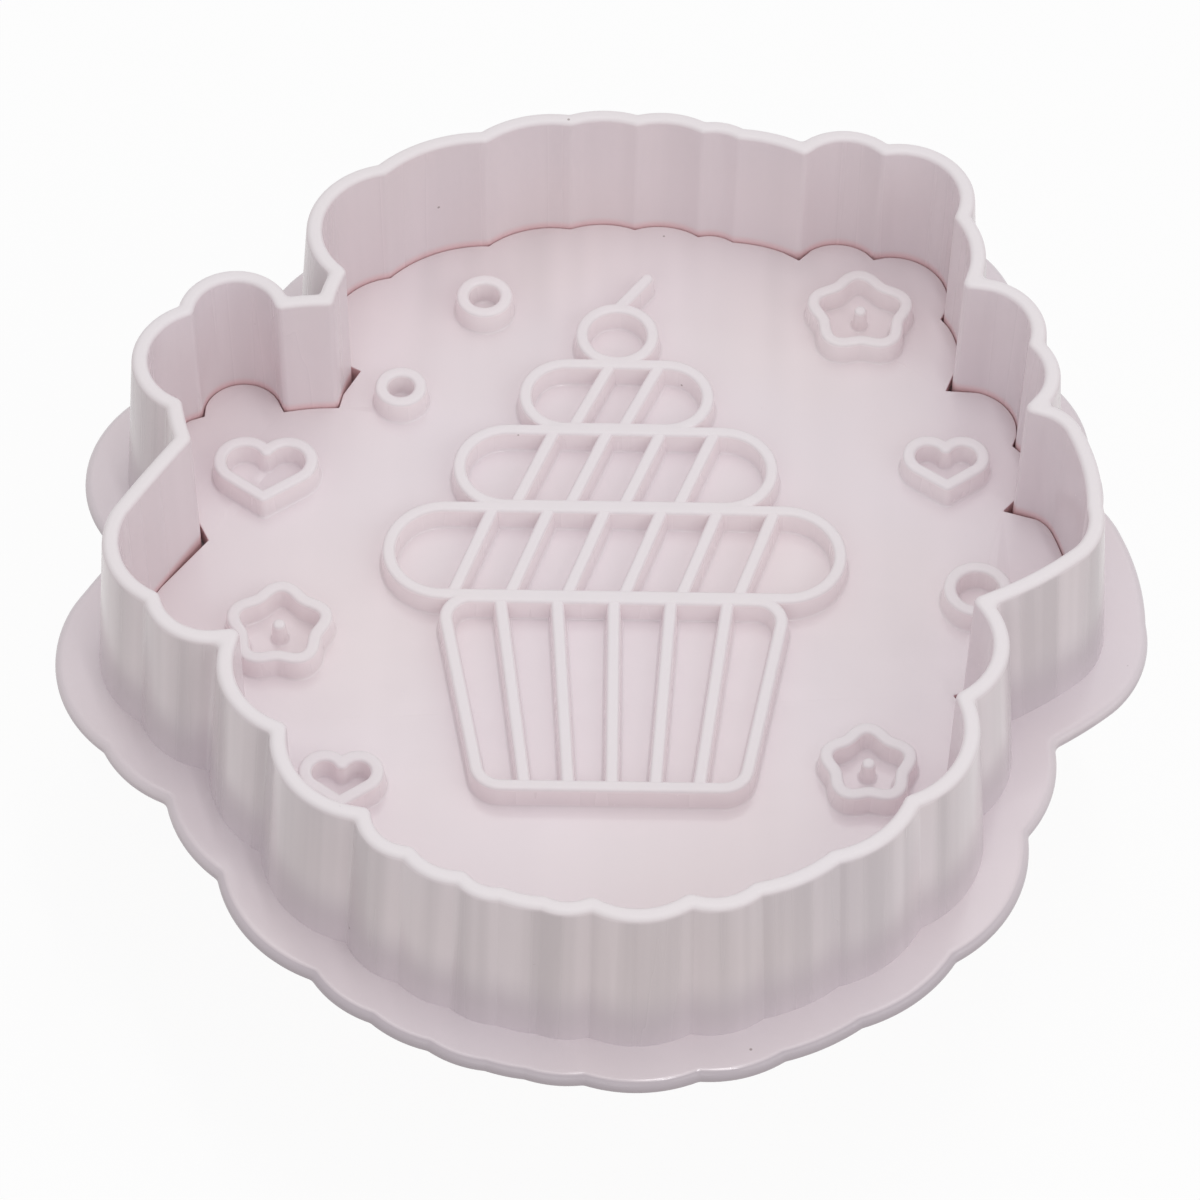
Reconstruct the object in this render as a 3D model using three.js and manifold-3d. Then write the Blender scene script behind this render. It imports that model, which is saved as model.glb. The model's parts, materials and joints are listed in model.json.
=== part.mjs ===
// Pastry stamp: a scalloped cutter shell round a sprung stamp plate, pushed out by a knob at the back.
// Millimetres, +Z up. The cutting rim faces up and the origin is at the centre of the knob's push face.
import * as THREE from "three";
import { mergeVertices } from "three/addons/utils/BufferGeometryUtils.js";
import Module from "manifold-3d";

// Cutter shell
const RIM_WALL = 1.3; // wall thickness at the cutting rim
const RIM_ROUND = 0.35; // edge break on both sides of the rim
const WALL_HEIGHT = 14.5; // flange top to cutting rim
const WALL_DRAFT = 1.3; // spread of the outer face from the rim to the flange
const FLANGE_REACH = 4.9; // rim outline to flange edge
const FLANGE_THICKNESS = 1.8; // flange and back web, one flat plate
const FLANGE_ROUND = 0.6; // edge break round the flange
const SLEEVE_LENGTH = 5; // guide sleeve below the web
const SLEEVE_WALL = 2.7; // of the sleeve and of the knob's collar
const SEAT_RING_WALL = 1.6; // ring round the spring's seat on the web
const SEAT_RING_HEIGHT = 1.5;

// Stamp plate
const PLATE_THICKNESS = 1.7;
const PLATE_GAP = 0.3; // running gap between plate and wall
const PLATE_REST_GAP = 0.3; // plate to web when the spring holds it back
const RELIEF_HEIGHT = 2;
const RELIEF_LINE = 1.25; // width of a raised line
const RELIEF_ROOT = 0.4; // how deep a raised line is rooted in the plate
const HUB_WALL = 2.8; // plastic round the screw
const GUIDE_GAP = 0.3; // hub to sleeve bore and to knob socket

// Knob, spring and fastening
const KNOB_RADIUS = 17;
const KNOB_ROUND = 2;
const COLLAR_HEIGHT = 2; // collar above the knob, round the hub's socket
const SOCKET_DEPTH = 3.6; // from the collar's top
const SOCKET_FLOOR = 1.8; // knob material between the hub and the washer
const RELIEF_SHORT = 0.5; // relief to the level of the rim at full travel
const STROKE_SPARE = 0.5; // left between collar and sleeve at full travel
const SPRING_WIRE = 1.1;
const SPRING_GAP = 0.4; // coil to the sleeve, and to the knob's groove
const SPRING_END_GAP = 0.3; // wire end to its seat
const SPRING_TURNS = 4;
const SPRING_STEPS = 8; // straight steps in a turn
const SPRING_STRAIGHT = 1.1; // straight end of the wire, square to its seat
const SPRING_BEND = 0.55; // height of the bend from the straight end into the coil
const SPRING_GROOVE = 1.5; // depth of the coil's groove in the knob
const SCREW_RADIUS = 1.5;
const SCREW_GAP = 0.2; // screw to the holes it passes
const SCREW_LENGTH = 14; // below the head
const SCREW_POINT = 2; // tapered end of the screw
const SCREW_HEAD_RADIUS = 2.9;
const SCREW_HEAD_HEIGHT = 1.9;
const SCREW_HEAD_BEVEL = 0.7; // round the head's flat end
const SLOT_WIDTH = 0.8; // cross recess in the screw's head
const SLOT_RIM = 0.5; // end of a slot to the edge of the head's flat end
const SLOT_DEPTH = 1;
const PILOT_SPARE = 2; // pilot hole past the screw's point
const WASHER_RIM = 0.7; // washer past the screw's head
const WASHER_THICKNESS = 0.5;
const RECESS_GAP = 0.5; // washer to the wall of its recess
const CAP_LEDGE = 1.6; // ledge round the screw's recess that the cap seats on
const CAP_THICKNESS = 1.4;
const CAP_GAP = 0.2; // cap to its recess
const CAP_SKIRT = 0.6; // ring of the cap that plugs the screw's recess
const CAP_SKIRT_WALL = 0.9;
const HEAD_CLEARANCE = 0.2; // screw head to the cap's ring

// Travel of the plunger: the relief stops just short of the rim
const STROKE = WALL_HEIGHT - PLATE_REST_GAP - PLATE_THICKNESS - RELIEF_HEIGHT - RELIEF_SHORT;

// Heights, from the push face up
const CAP_SEAT_Z = CAP_THICKNESS;
const HEAD_Z = CAP_SEAT_Z + CAP_SKIRT + HEAD_CLEARANCE;
const WASHER_Z = HEAD_Z + SCREW_HEAD_HEIGHT;
const RECESS_Z = WASHER_Z + WASHER_THICKNESS;
const SOCKET_Z = RECESS_Z + SOCKET_FLOOR;
const COLLAR_Z = SOCKET_Z + SOCKET_DEPTH;
const KNOB_TOP_Z = COLLAR_Z - COLLAR_HEIGHT;
const SLEEVE_Z = COLLAR_Z + STROKE + STROKE_SPARE;
const WEB_Z = SLEEVE_Z + SLEEVE_LENGTH;
const FLANGE_TOP_Z = WEB_Z + FLANGE_THICKNESS;
const RIM_Z = FLANGE_TOP_Z + WALL_HEIGHT;
const PLATE_Z = FLANGE_TOP_Z + PLATE_REST_GAP;
const PLATE_TOP_Z = PLATE_Z + PLATE_THICKNESS;

// Radii that follow from the fits
const SCREW_HOLE_RADIUS = SCREW_RADIUS + SCREW_GAP;
const HUB_RADIUS = SCREW_HOLE_RADIUS + HUB_WALL;
const BORE_RADIUS = HUB_RADIUS + GUIDE_GAP;
const SLEEVE_RADIUS = BORE_RADIUS + SLEEVE_WALL;
const COIL_RADIUS = (SLEEVE_RADIUS + SPRING_GAP + SPRING_WIRE / 2) / Math.cos(Math.PI / SPRING_STEPS);
const COIL_OUTSIDE = COIL_RADIUS + SPRING_WIRE / 2 + SPRING_GAP;
const WASHER_RADIUS = SCREW_HEAD_RADIUS + WASHER_RIM;
const RECESS_RADIUS = WASHER_RADIUS + RECESS_GAP;
const CAP_RECESS_RADIUS = RECESS_RADIUS + CAP_LEDGE;
const CAP_RADIUS = CAP_RECESS_RADIUS - CAP_GAP;

// Scalloped rim outline, clockwise from the neck at the left of the back: corner x, y and the crown of the
// arc that runs from it to the next corner
const OUTLINE = [
  [-23.1, 20.3, 3.6],
  [-19.7, 32.3, 0.9],
  [-11.4, 36.2, 0.8],
  [-4.2, 38.3, 0.5],
  [1.4, 38.4, 0.6],
  [7, 37.7, 0.3],
  [10.1, 37, 0.25],
  [14.9, 35.6, 1.4],
  [21.9, 35.5, 3],
  [28.4, 27.5, 0.7],
  [29, 20.9, 1.9],
  [33.7, 14.1, 1.1],
  [33.6, 7.7, 0.7],
  [36.2, 5, 0.4],
  [37.3, -2.5, 0.6],
  [35.8, -7.4, 0.3],
  [28.6, -12.2, 1.8],
  [26.7, -21.2, 2],
  [22.3, -30.9, 0.9],
  [16.4, -36, 0.4],
  [10.8, -38.9, 0.7],
  [5.8, -40.1, 1.05],
  [-1.4, -40.5, 0.4],
  [-5, -40.4, 0.15],
  [-8, -39.7, 0.4],
  [-11.1, -38.3, 0.5],
  [-15, -36.2, 0.8],
  [-18.6, -32.8, 1.9],
  [-25.2, -25.1, 1.6],
  [-29.4, -16.9, 1.35],
  [-35.3, -13.1, 1.8],
  [-38.4, -4.1, 0.05],
  [-34.2, 3, 0.05],
  [-35, 6, 3.2],
  [-34.8, 16.6, 3.3],
  [-26.2, 17.8, 0.05],
  [-23.7, 18.1, 0.05],
];
const ARC_STEP = THREE.MathUtils.degToRad(20); // longest step along an arc of the outline
const SMOOTH_TURN = THREE.MathUtils.degToRad(15); // sides that turn less at a corner run on smoothly
const ROUND_STEPS = 3; // steps round an inner ridge
const ROUND_SEGMENTS = 40; // facets round turned pieces
const EDGE_STEPS = 3; // steps round a turned piece's rounded edge
const WIRE_SIDES = 5; // sides of the spring's wire

// Relief: a cupcake with roped icing in the middle, hearts, blossoms and rings round it
const WRAPPER_TOP_Y = -4;
const WRAPPER_BOTTOM_Y = -22;
const WRAPPER_TOP_HALF = 13.5;
const WRAPPER_BOTTOM_HALF = 10;
const WRAPPER_CORNER = 2; // radius of the wrapper's corners
const PLEAT_SHARES = [-0.66, -0.33, 0, 0.33, 0.66]; // place of each pleat across the wrapper
const ICING_TIERS = [
  { half: 13.4, radius: 4.4, ropes: 6 },
  { half: 8.6, radius: 3.9, ropes: 4 },
  { half: 4, radius: 3.4, ropes: 2 },
];
const ICING_LIFT = 0.3; // each tier's line lies this much above the line it stands on
const ROPE_LEAN = 3; // sideways lean of a rope line across its tier
const LINE_TUCK = 0.3; // a bar that runs into a line stops this short of the line's middle
const CHERRY_RADIUS = 2.9;
const CHERRY_STALK = [2.6, 3.6]; // from the top of the cherry
const HEARTS = [
  { x: -28, y: 9.5, size: 3.2 },
  { x: 26.5, y: 11, size: 2.6 },
  { x: -20.5, y: -21, size: 2.4 },
];
const HEART_LOBE = 0.62; // lobe radius, lobe offset and tip of a heart, as shares of its size
const HEART_APART = 0.53;
const HEART_TIP = 1.15;
const BLOSSOMS = [
  { x: -26, y: -7, radius: 3.4 },
  { x: 20, y: 26.5, radius: 3.6 },
  { x: 19.5, y: -19.5, radius: 3 },
];
const PETALS = 5;
const PETAL_DEPTH = 0.45; // swing of a blossom's outline
const RINGS = [
  { x: -11, y: 27.5, radius: 1.8 },
  { x: 28.5, y: -2.5, radius: 2.2 },
  { x: -17.5, y: 17.5, radius: 1.6 },
];
const PILL_STEPS = 8; // steps round a tier's end, a wrapper corner, a heart's lobe, a petal and a bar's end
const CORNER_STEPS = 3;
const LOBE_STEPS = 7;
const PETAL_STEPS = 8;
const BAR_END_STEPS = 5;
const CHERRY_STEPS = 20; // steps round the cherry, a ring and a blossom's middle
const RING_STEPS = 16;
const DOT_STEPS = 10;

const wasm = await Module();
wasm.setup();

// Solids from geometries, and back
function solidOf(geometry) {
  const bare = geometry.index ? geometry.toNonIndexed() : geometry.clone();
  bare.deleteAttribute("normal");
  bare.deleteAttribute("uv");
  const merged = mergeVertices(bare);
  const triVerts = new Uint32Array(merged.index.array);
  const vertProperties = merged.attributes.position.array;
  return new wasm.Manifold(new wasm.Mesh({ numProp: 3, vertProperties, triVerts }));
}

function geometryOf(solid) {
  const mesh = solid.getMesh();
  const geometry = new THREE.BufferGeometry();
  geometry.setAttribute("position", new THREE.BufferAttribute(mesh.vertProperties, 3));
  geometry.setIndex(new THREE.BufferAttribute(mesh.triVerts, 1));
  geometry.computeVertexNormals();
  return geometry;
}

// A turned solid from its half profile, points [radius, height] with the material on their left
function turned(profile) {
  const points = profile.map(([radius, height]) => new THREE.Vector2(radius, height));
  if (points[0].x > 0) {
    points.push(points[0].clone());
  }
  const geometry = new THREE.LatheGeometry(points, ROUND_SEGMENTS);
  geometry.rotateX(Math.PI / 2);
  return solidOf(geometry);
}

// Points of a profile's rounded edge: a quarter turn about its centre
function quarterTurn(centreRadius, centreZ, radius, from) {
  return Array.from({ length: EDGE_STEPS + 1 }, (_, k) => {
    const angle = from + (Math.PI / 2 / EDGE_STEPS) * k;
    const point = pointAt(new THREE.Vector2(centreRadius, centreZ), radius, angle);
    return [point.x, point.y];
  });
}

function cylinder(radius, low, high) {
  return turned([[0, low], [radius, low], [radius, high], [0, high]]);
}

function extruded(shape, low, high) {
  const geometry = new THREE.ExtrudeGeometry(shape, { depth: high - low, bevelEnabled: false });
  geometry.translate(0, 0, low);
  return solidOf(geometry);
}

// A solid through level rings of equally many points, each counter-clockwise seen from above
function lofted(rings) {
  const count = rings[0].points.length;
  const position = rings.flatMap(({ points, z }) => points.flatMap((p) => [p.x, p.y, z]));
  const index = [];
  for (let level = 0; level + 1 < rings.length; level++) {
    for (let i = 0; i < count; i++) {
      const a = level * count + i;
      const b = level * count + ((i + 1) % count);
      index.push(a, b, b + count, a, b + count, a + count);
    }
  }
  const top = (rings.length - 1) * count;
  for (const [a, b, c] of THREE.ShapeUtils.triangulateShape(rings.at(-1).points, [])) {
    index.push(top + a, top + b, top + c);
  }
  for (const [a, b, c] of THREE.ShapeUtils.triangulateShape(rings[0].points, [])) {
    index.push(a, c, b);
  }
  const geometry = new THREE.BufferGeometry();
  geometry.setAttribute("position", new THREE.Float32BufferAttribute(position, 3));
  geometry.setIndex(index);
  return solidOf(geometry);
}

// The outline's sides and their offsets
function sideOf([x, y, crown], i) {
  const [nextX, nextY] = OUTLINE[(i + 1) % OUTLINE.length];
  const start = new THREE.Vector2(x, y);
  const end = new THREE.Vector2(nextX, nextY);
  const half = start.distanceTo(end) / 2;
  const radius = (half * half + crown * crown) / (2 * crown);
  const outward = new THREE.Vector2(y - nextY, nextX - x).normalize();
  const centre = start.clone().lerp(end, 0.5).addScaledVector(outward, crown - radius);
  const sweep = 4 * Math.atan2(crown, half);
  const steps = Math.max(1, Math.ceil(sweep / ARC_STEP));
  const startNormal = start.clone().sub(centre).normalize();
  const endNormal = end.clone().sub(centre).normalize();
  return { start, end, centre, radius, sweep, steps, startNormal, endNormal };
}

const SIDES = OUTLINE.map(sideOf);

function runsOn(before, after) {
  return before.end.equals(after.start) && before.endNormal.dot(after.startNormal) > Math.cos(SMOOTH_TURN);
}

// Where two neighbouring sides meet once both are moved outward by the offset
function offsetCorner(before, after, offset) {
  const mean = before.endNormal.clone().add(after.startNormal).normalize();
  const mitre = after.start.clone().addScaledVector(mean, offset / mean.dot(after.startNormal));
  if (runsOn(before, after)) {
    return mitre;
  }
  const between = after.centre.clone().sub(before.centre);
  const span = between.length();
  const first = before.radius + offset;
  const second = after.radius + offset;
  const along = (span * span + first * first - second * second) / (2 * span);
  const rise = first * first - along * along;
  if (rise <= 0) {
    return mitre;
  }
  const outward = new THREE.Vector2(-between.y, between.x).normalize();
  return before.centre
    .clone()
    .addScaledVector(between.normalize(), along)
    .addScaledVector(outward, Math.sqrt(rise));
}

function offsetCorners(sides, offset) {
  return sides.map((side, i) => offsetCorner(sides.at(i - 1), side, offset));
}

// The sides that are left after an offset: short ones in a hollow are swallowed by their neighbours
function sidesLeft(offset) {
  let sides = SIDES;
  for (;;) {
    const corners = offsetCorners(sides, offset);
    const kept = sides.filter((side, i) => {
      const moved = corners[(i + 1) % sides.length].clone().sub(corners[i]);
      return moved.dot(side.end.clone().sub(side.start)) > 0;
    });
    if (kept.length === sides.length) {
      return sides;
    }
    sides = kept;
  }
}

// Offset outline whose corners stay sharp, counter-clockwise
function sharpRing(offset, sides = SIDES) {
  const corners = offsetCorners(sides, offset);
  const points = sides.flatMap((side, i) => {
    const from = corners[i].clone().sub(side.centre);
    const to = corners[(i + 1) % sides.length].clone().sub(side.centre);
    const turn = THREE.MathUtils.euclideanModulo(from.angle() - to.angle(), 2 * Math.PI);
    return Array.from({ length: side.steps }, (_, k) => {
      const share = k / side.steps;
      const reach = THREE.MathUtils.lerp(from.length(), to.length(), share);
      const angle = from.angle() - turn * share;
      return new THREE.Vector2(Math.cos(angle), Math.sin(angle)).multiplyScalar(reach).add(side.centre);
    });
  });
  return points.reverse();
}

// Outline moved in, counter-clockwise: the ridge at each corner is rounded about that corner or left sharp
function insetRing(inset, rounded) {
  const points = SIDES.flatMap((side, i) => {
    const after = SIDES[(i + 1) % SIDES.length];
    const from = side.startNormal.angle();
    const arc = Array.from({ length: side.steps }, (_, k) => from - (side.sweep * k) / side.steps);
    const run = arc.map((angle) => pointAt(side.centre, side.radius - inset, angle));
    if (runsOn(side, after)) {
      return run;
    }
    const last = side.endNormal.angle();
    const turn = THREE.MathUtils.euclideanModulo(after.startNormal.angle() - last, 2 * Math.PI);
    if (!rounded) {
      run.push(pointAt(side.end, -inset, last));
      run.push(pointAt(side.end, -inset / Math.cos(turn / 2), last + turn / 2));
      return run;
    }
    for (let k = 0; k < ROUND_STEPS; k++) {
      run.push(pointAt(side.end, -inset, last + (turn * k) / ROUND_STEPS));
    }
    return run;
  });
  return points.reverse();
}

function pointAt(centre, radius, angle) {
  return new THREE.Vector2(Math.cos(angle), Math.sin(angle)).multiplyScalar(radius).add(centre);
}

// Relief outlines, each a closed counter-clockwise run of points
function circlePoints({ x, y, radius }, steps) {
  const centre = new THREE.Vector2(x, y);
  return Array.from({ length: steps }, (_, k) => pointAt(centre, radius, (2 * Math.PI * k) / steps));
}

function pillPoints(y, half, radius) {
  const end = (x, from) =>
    Array.from({ length: PILL_STEPS + 1 }, (_, k) =>
      pointAt(new THREE.Vector2(x, y), radius, from + (Math.PI * k) / PILL_STEPS),
    );
  return [...end(half, -Math.PI / 2), ...end(-half, Math.PI / 2)];
}

function roundedPoints(corners, radius) {
  return corners.flatMap((corner, i) => {
    const toBefore = corners.at(i - 1).clone().sub(corner).normalize();
    const toAfter = corners[(i + 1) % corners.length].clone().sub(corner).normalize();
    const half = Math.acos(toBefore.dot(toAfter)) / 2;
    const middle = toBefore.clone().add(toAfter).normalize();
    const centre = corner.clone().addScaledVector(middle, radius / Math.sin(half));
    const from = middle.angle() + Math.PI - (Math.PI / 2 - half);
    return Array.from({ length: CORNER_STEPS + 1 }, (_, k) =>
      pointAt(centre, radius, from + ((Math.PI - 2 * half) * k) / CORNER_STEPS),
    );
  });
}

// A heart: two round lobes whose tangents meet in the tip
function heartPoints({ x, y, size }) {
  const lobe = size * HEART_LOBE;
  const apart = size * HEART_APART;
  const tip = size * HEART_TIP;
  const reach = Math.hypot(apart, tip);
  const touch = Math.atan2(-tip, -apart) + Math.acos(lobe / reach);
  const notch = Math.PI - Math.acos(apart / lobe);
  const centre = new THREE.Vector2(apart, 0);
  const right = Array.from({ length: LOBE_STEPS }, (_, k) =>
    pointAt(centre, lobe, touch + ((notch - touch) * k) / LOBE_STEPS),
  );
  const left = right.map((p) => new THREE.Vector2(-p.x, p.y)).reverse();
  const top = new THREE.Vector2(0, Math.sqrt(lobe * lobe - apart * apart));
  return [new THREE.Vector2(0, -tip), ...right, top, ...left].map((p) => p.add(new THREE.Vector2(x, y)));
}

function blossomPoints({ x, y, radius }) {
  const steps = PETALS * PETAL_STEPS;
  const centre = new THREE.Vector2(x, y);
  return Array.from({ length: steps }, (_, k) => {
    const angle = (2 * Math.PI * k) / steps;
    return pointAt(centre, radius + PETAL_DEPTH * Math.cos(PETALS * angle), angle + Math.PI / 2);
  });
}

// A closed raised line, half its width to each side of the run of points
function closedLine(points) {
  const moved = (offset) =>
    points.map((p, i) => {
      const before = p.clone().sub(points.at(i - 1)).normalize();
      const after = points[(i + 1) % points.length].clone().sub(p).normalize();
      const beforeNormal = new THREE.Vector2(before.y, -before.x);
      const mean = beforeNormal.clone().add(new THREE.Vector2(after.y, -after.x)).normalize();
      return p.clone().addScaledVector(mean, offset / mean.dot(beforeNormal));
    });
  const shape = new THREE.Shape(moved(RELIEF_LINE / 2));
  shape.holes.push(new THREE.Path(moved(-RELIEF_LINE / 2)));
  return shape;
}

// A straight raised line with round ends, tucked in from the given ends
function barLine(from, to) {
  const run = to.clone().sub(from).normalize();
  const start = from.clone().addScaledVector(run, LINE_TUCK);
  const end = to.clone().addScaledVector(run, -LINE_TUCK);
  const along = run.angle();
  const round = (centre, first) =>
    Array.from({ length: BAR_END_STEPS + 1 }, (_, k) =>
      pointAt(centre, RELIEF_LINE / 2, first + (Math.PI * k) / BAR_END_STEPS),
    );
  return new THREE.Shape([...round(end, along - Math.PI / 2), ...round(start, along + Math.PI / 2)]);
}

function wrapperLines() {
  const corners = [
    [-WRAPPER_BOTTOM_HALF, WRAPPER_BOTTOM_Y],
    [WRAPPER_BOTTOM_HALF, WRAPPER_BOTTOM_Y],
    [WRAPPER_TOP_HALF, WRAPPER_TOP_Y],
    [-WRAPPER_TOP_HALF, WRAPPER_TOP_Y],
  ].map(([x, y]) => new THREE.Vector2(x, y));
  const pleats = PLEAT_SHARES.map((share) =>
    barLine(
      new THREE.Vector2(share * WRAPPER_TOP_HALF, WRAPPER_TOP_Y),
      new THREE.Vector2(share * WRAPPER_BOTTOM_HALF, WRAPPER_BOTTOM_Y),
    ),
  );
  return [closedLine(roundedPoints(corners, WRAPPER_CORNER)), ...pleats];
}

function icingLines() {
  const lines = [];
  let bottom = WRAPPER_TOP_Y + ICING_LIFT;
  for (const { half, radius, ropes } of ICING_TIERS) {
    const top = bottom + 2 * radius;
    lines.push(closedLine(pillPoints(bottom + radius, half, radius)));
    for (let k = 0; k < ropes; k++) {
      const x = half * ((2 * k + 1) / ropes - 1);
      const foot = new THREE.Vector2(x - ROPE_LEAN / 2, bottom);
      lines.push(barLine(foot, new THREE.Vector2(x + ROPE_LEAN / 2, top)));
    }
    bottom = top + ICING_LIFT;
  }
  const cherry = { x: 0, y: bottom + CHERRY_RADIUS, radius: CHERRY_RADIUS };
  const stalkFoot = new THREE.Vector2(0, bottom + 2 * CHERRY_RADIUS);
  lines.push(closedLine(circlePoints(cherry, CHERRY_STEPS)));
  lines.push(barLine(stalkFoot, stalkFoot.clone().add(new THREE.Vector2(...CHERRY_STALK))));
  return lines;
}

function ornamentLines() {
  const hearts = HEARTS.map((heart) => closedLine(heartPoints(heart)));
  const blossoms = BLOSSOMS.map((blossom) => closedLine(blossomPoints(blossom)));
  const dots = BLOSSOMS.map(({ x, y }) =>
    new THREE.Shape(circlePoints({ x, y, radius: RELIEF_LINE / 2 }, DOT_STEPS)),
  );
  const rings = RINGS.map((ring) => closedLine(circlePoints(ring, RING_STEPS)));
  return [...hearts, ...blossoms, ...dots, ...rings];
}

// The pieces
function cutterShell() {
  const rootZ = WEB_Z + FLANGE_THICKNESS / 2;
  const wall = lofted([
    { points: sharpRing((WALL_DRAFT * (RIM_Z - rootZ)) / WALL_HEIGHT), z: rootZ },
    { points: sharpRing(0), z: RIM_Z - RIM_ROUND },
    { points: sharpRing(-RIM_ROUND), z: RIM_Z },
  ]);
  const flangeSides = sidesLeft(FLANGE_REACH);
  const flange = lofted([
    { points: sharpRing(FLANGE_REACH - FLANGE_ROUND, flangeSides), z: WEB_Z },
    { points: sharpRing(FLANGE_REACH, flangeSides), z: WEB_Z + FLANGE_ROUND },
    { points: sharpRing(FLANGE_REACH, flangeSides), z: FLANGE_TOP_Z - FLANGE_ROUND },
    { points: sharpRing(FLANGE_REACH - FLANGE_ROUND, flangeSides), z: FLANGE_TOP_Z },
  ]);
  const opening = lofted([
    { points: insetRing(RIM_WALL, true), z: WEB_Z },
    { points: insetRing(RIM_WALL, true), z: RIM_Z - RIM_ROUND },
    { points: insetRing(RIM_WALL - RIM_ROUND, true), z: RIM_Z },
    { points: insetRing(RIM_WALL - RIM_ROUND, true), z: RIM_Z + RIM_ROUND },
  ]);
  const sleeve = cylinder(SLEEVE_RADIUS, SLEEVE_Z, rootZ);
  const seatRing = turned([
    [COIL_OUTSIDE, WEB_Z - SEAT_RING_HEIGHT],
    [COIL_OUTSIDE + SEAT_RING_WALL, WEB_Z - SEAT_RING_HEIGHT],
    [COIL_OUTSIDE + SEAT_RING_WALL, rootZ],
    [COIL_OUTSIDE, rootZ],
  ]);
  const bore = cylinder(BORE_RADIUS, SLEEVE_Z - STROKE_SPARE, FLANGE_TOP_Z + PLATE_REST_GAP);
  return wall.subtract(opening).add(flange).add(sleeve).add(seatRing).subtract(bore);
}

function stampPlate() {
  const ring = insetRing(RIM_WALL + PLATE_GAP, false);
  const plate = lofted([
    { points: ring, z: PLATE_Z },
    { points: ring, z: PLATE_TOP_Z },
  ]);
  const hub = cylinder(HUB_RADIUS, SOCKET_Z, PLATE_Z + PLATE_THICKNESS / 2);
  const pilotEnd = WASHER_Z + SCREW_LENGTH + PILOT_SPARE;
  const pilot = cylinder(SCREW_HOLE_RADIUS, SOCKET_Z - SOCKET_FLOOR, pilotEnd);
  const lines = [...wrapperLines(), ...icingLines(), ...ornamentLines()];
  const relief = lines.map((line) => extruded(line, PLATE_TOP_Z - RELIEF_ROOT, PLATE_TOP_Z + RELIEF_HEIGHT));
  return relief.reduce((sum, line) => sum.add(line), plate.add(hub)).subtract(pilot);
}

function pushKnob() {
  return turned([
    [CAP_RECESS_RADIUS, 0],
    ...quarterTurn(KNOB_RADIUS - KNOB_ROUND, KNOB_ROUND, KNOB_ROUND, -Math.PI / 2),
    ...quarterTurn(KNOB_RADIUS - KNOB_ROUND, KNOB_TOP_Z - KNOB_ROUND, KNOB_ROUND, 0),
    [COIL_OUTSIDE, KNOB_TOP_Z],
    [COIL_OUTSIDE, KNOB_TOP_Z - SPRING_GROOVE],
    [SLEEVE_RADIUS, KNOB_TOP_Z - SPRING_GROOVE],
    [SLEEVE_RADIUS, COLLAR_Z],
    [BORE_RADIUS, COLLAR_Z],
    [BORE_RADIUS, SOCKET_Z],
    [SCREW_HOLE_RADIUS, SOCKET_Z],
    [SCREW_HOLE_RADIUS, RECESS_Z],
    [RECESS_RADIUS, RECESS_Z],
    [RECESS_RADIUS, CAP_SEAT_Z],
    [CAP_RECESS_RADIUS, CAP_SEAT_Z],
  ]);
}

function knobCap() {
  const skirtRadius = RECESS_RADIUS - CAP_GAP;
  return turned([
    [0, 0],
    [CAP_RADIUS, 0],
    [CAP_RADIUS, CAP_THICKNESS],
    [skirtRadius, CAP_THICKNESS],
    [skirtRadius, CAP_THICKNESS + CAP_SKIRT],
    [skirtRadius - CAP_SKIRT_WALL, CAP_THICKNESS + CAP_SKIRT],
    [skirtRadius - CAP_SKIRT_WALL, CAP_THICKNESS],
    [0, CAP_THICKNESS],
  ]);
}

function clampScrew() {
  const tipZ = WASHER_Z + SCREW_LENGTH;
  const headFlat = SCREW_HEAD_RADIUS - SCREW_HEAD_BEVEL;
  const body = turned([
    [0, HEAD_Z],
    [headFlat, HEAD_Z],
    [SCREW_HEAD_RADIUS, HEAD_Z + SCREW_HEAD_HEIGHT / 2],
    [SCREW_HEAD_RADIUS, WASHER_Z],
    [SCREW_RADIUS, WASHER_Z],
    [SCREW_RADIUS, tipZ - SCREW_POINT],
    [0, tipZ],
  ]);
  const slots = [0, Math.PI / 2].map((angle) => {
    const bar = new THREE.BoxGeometry(2 * (headFlat - SLOT_RIM), SLOT_WIDTH, 2 * SLOT_DEPTH);
    bar.rotateZ(angle);
    bar.translate(0, 0, HEAD_Z);
    return solidOf(bar);
  });
  return slots.reduce((sum, slot) => sum.subtract(slot), body);
}

function screwWasher() {
  return turned([
    [SCREW_HOLE_RADIUS, WASHER_Z],
    [WASHER_RADIUS, WASHER_Z],
    [WASHER_RADIUS, RECESS_Z],
    [SCREW_HOLE_RADIUS, RECESS_Z],
  ]);
}

// The spring's centre line: a straight end, the coil, a straight end
function springLine() {
  const low = KNOB_TOP_Z - SPRING_GROOVE + SPRING_END_GAP;
  const high = WEB_Z - SPRING_END_GAP;
  const coilLow = low + SPRING_STRAIGHT + SPRING_BEND;
  const rise = high - SPRING_STRAIGHT - SPRING_BEND - coilLow;
  const steps = SPRING_TURNS * SPRING_STEPS;
  const coil = Array.from({ length: steps + 1 }, (_, k) => {
    const flat = pointAt(new THREE.Vector2(), COIL_RADIUS, (2 * Math.PI * k) / SPRING_STEPS);
    return new THREE.Vector3(flat.x, flat.y, coilLow + (rise * k) / steps);
  });
  const straight = (point, z) => new THREE.Vector3(point.x, point.y, z);
  const first = [straight(coil[0], low), straight(coil[0], low + SPRING_STRAIGHT)];
  const last = [straight(coil[steps], high - SPRING_STRAIGHT), straight(coil[steps], high)];
  return [...first, ...coil.slice(1, steps), ...last];
}

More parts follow.
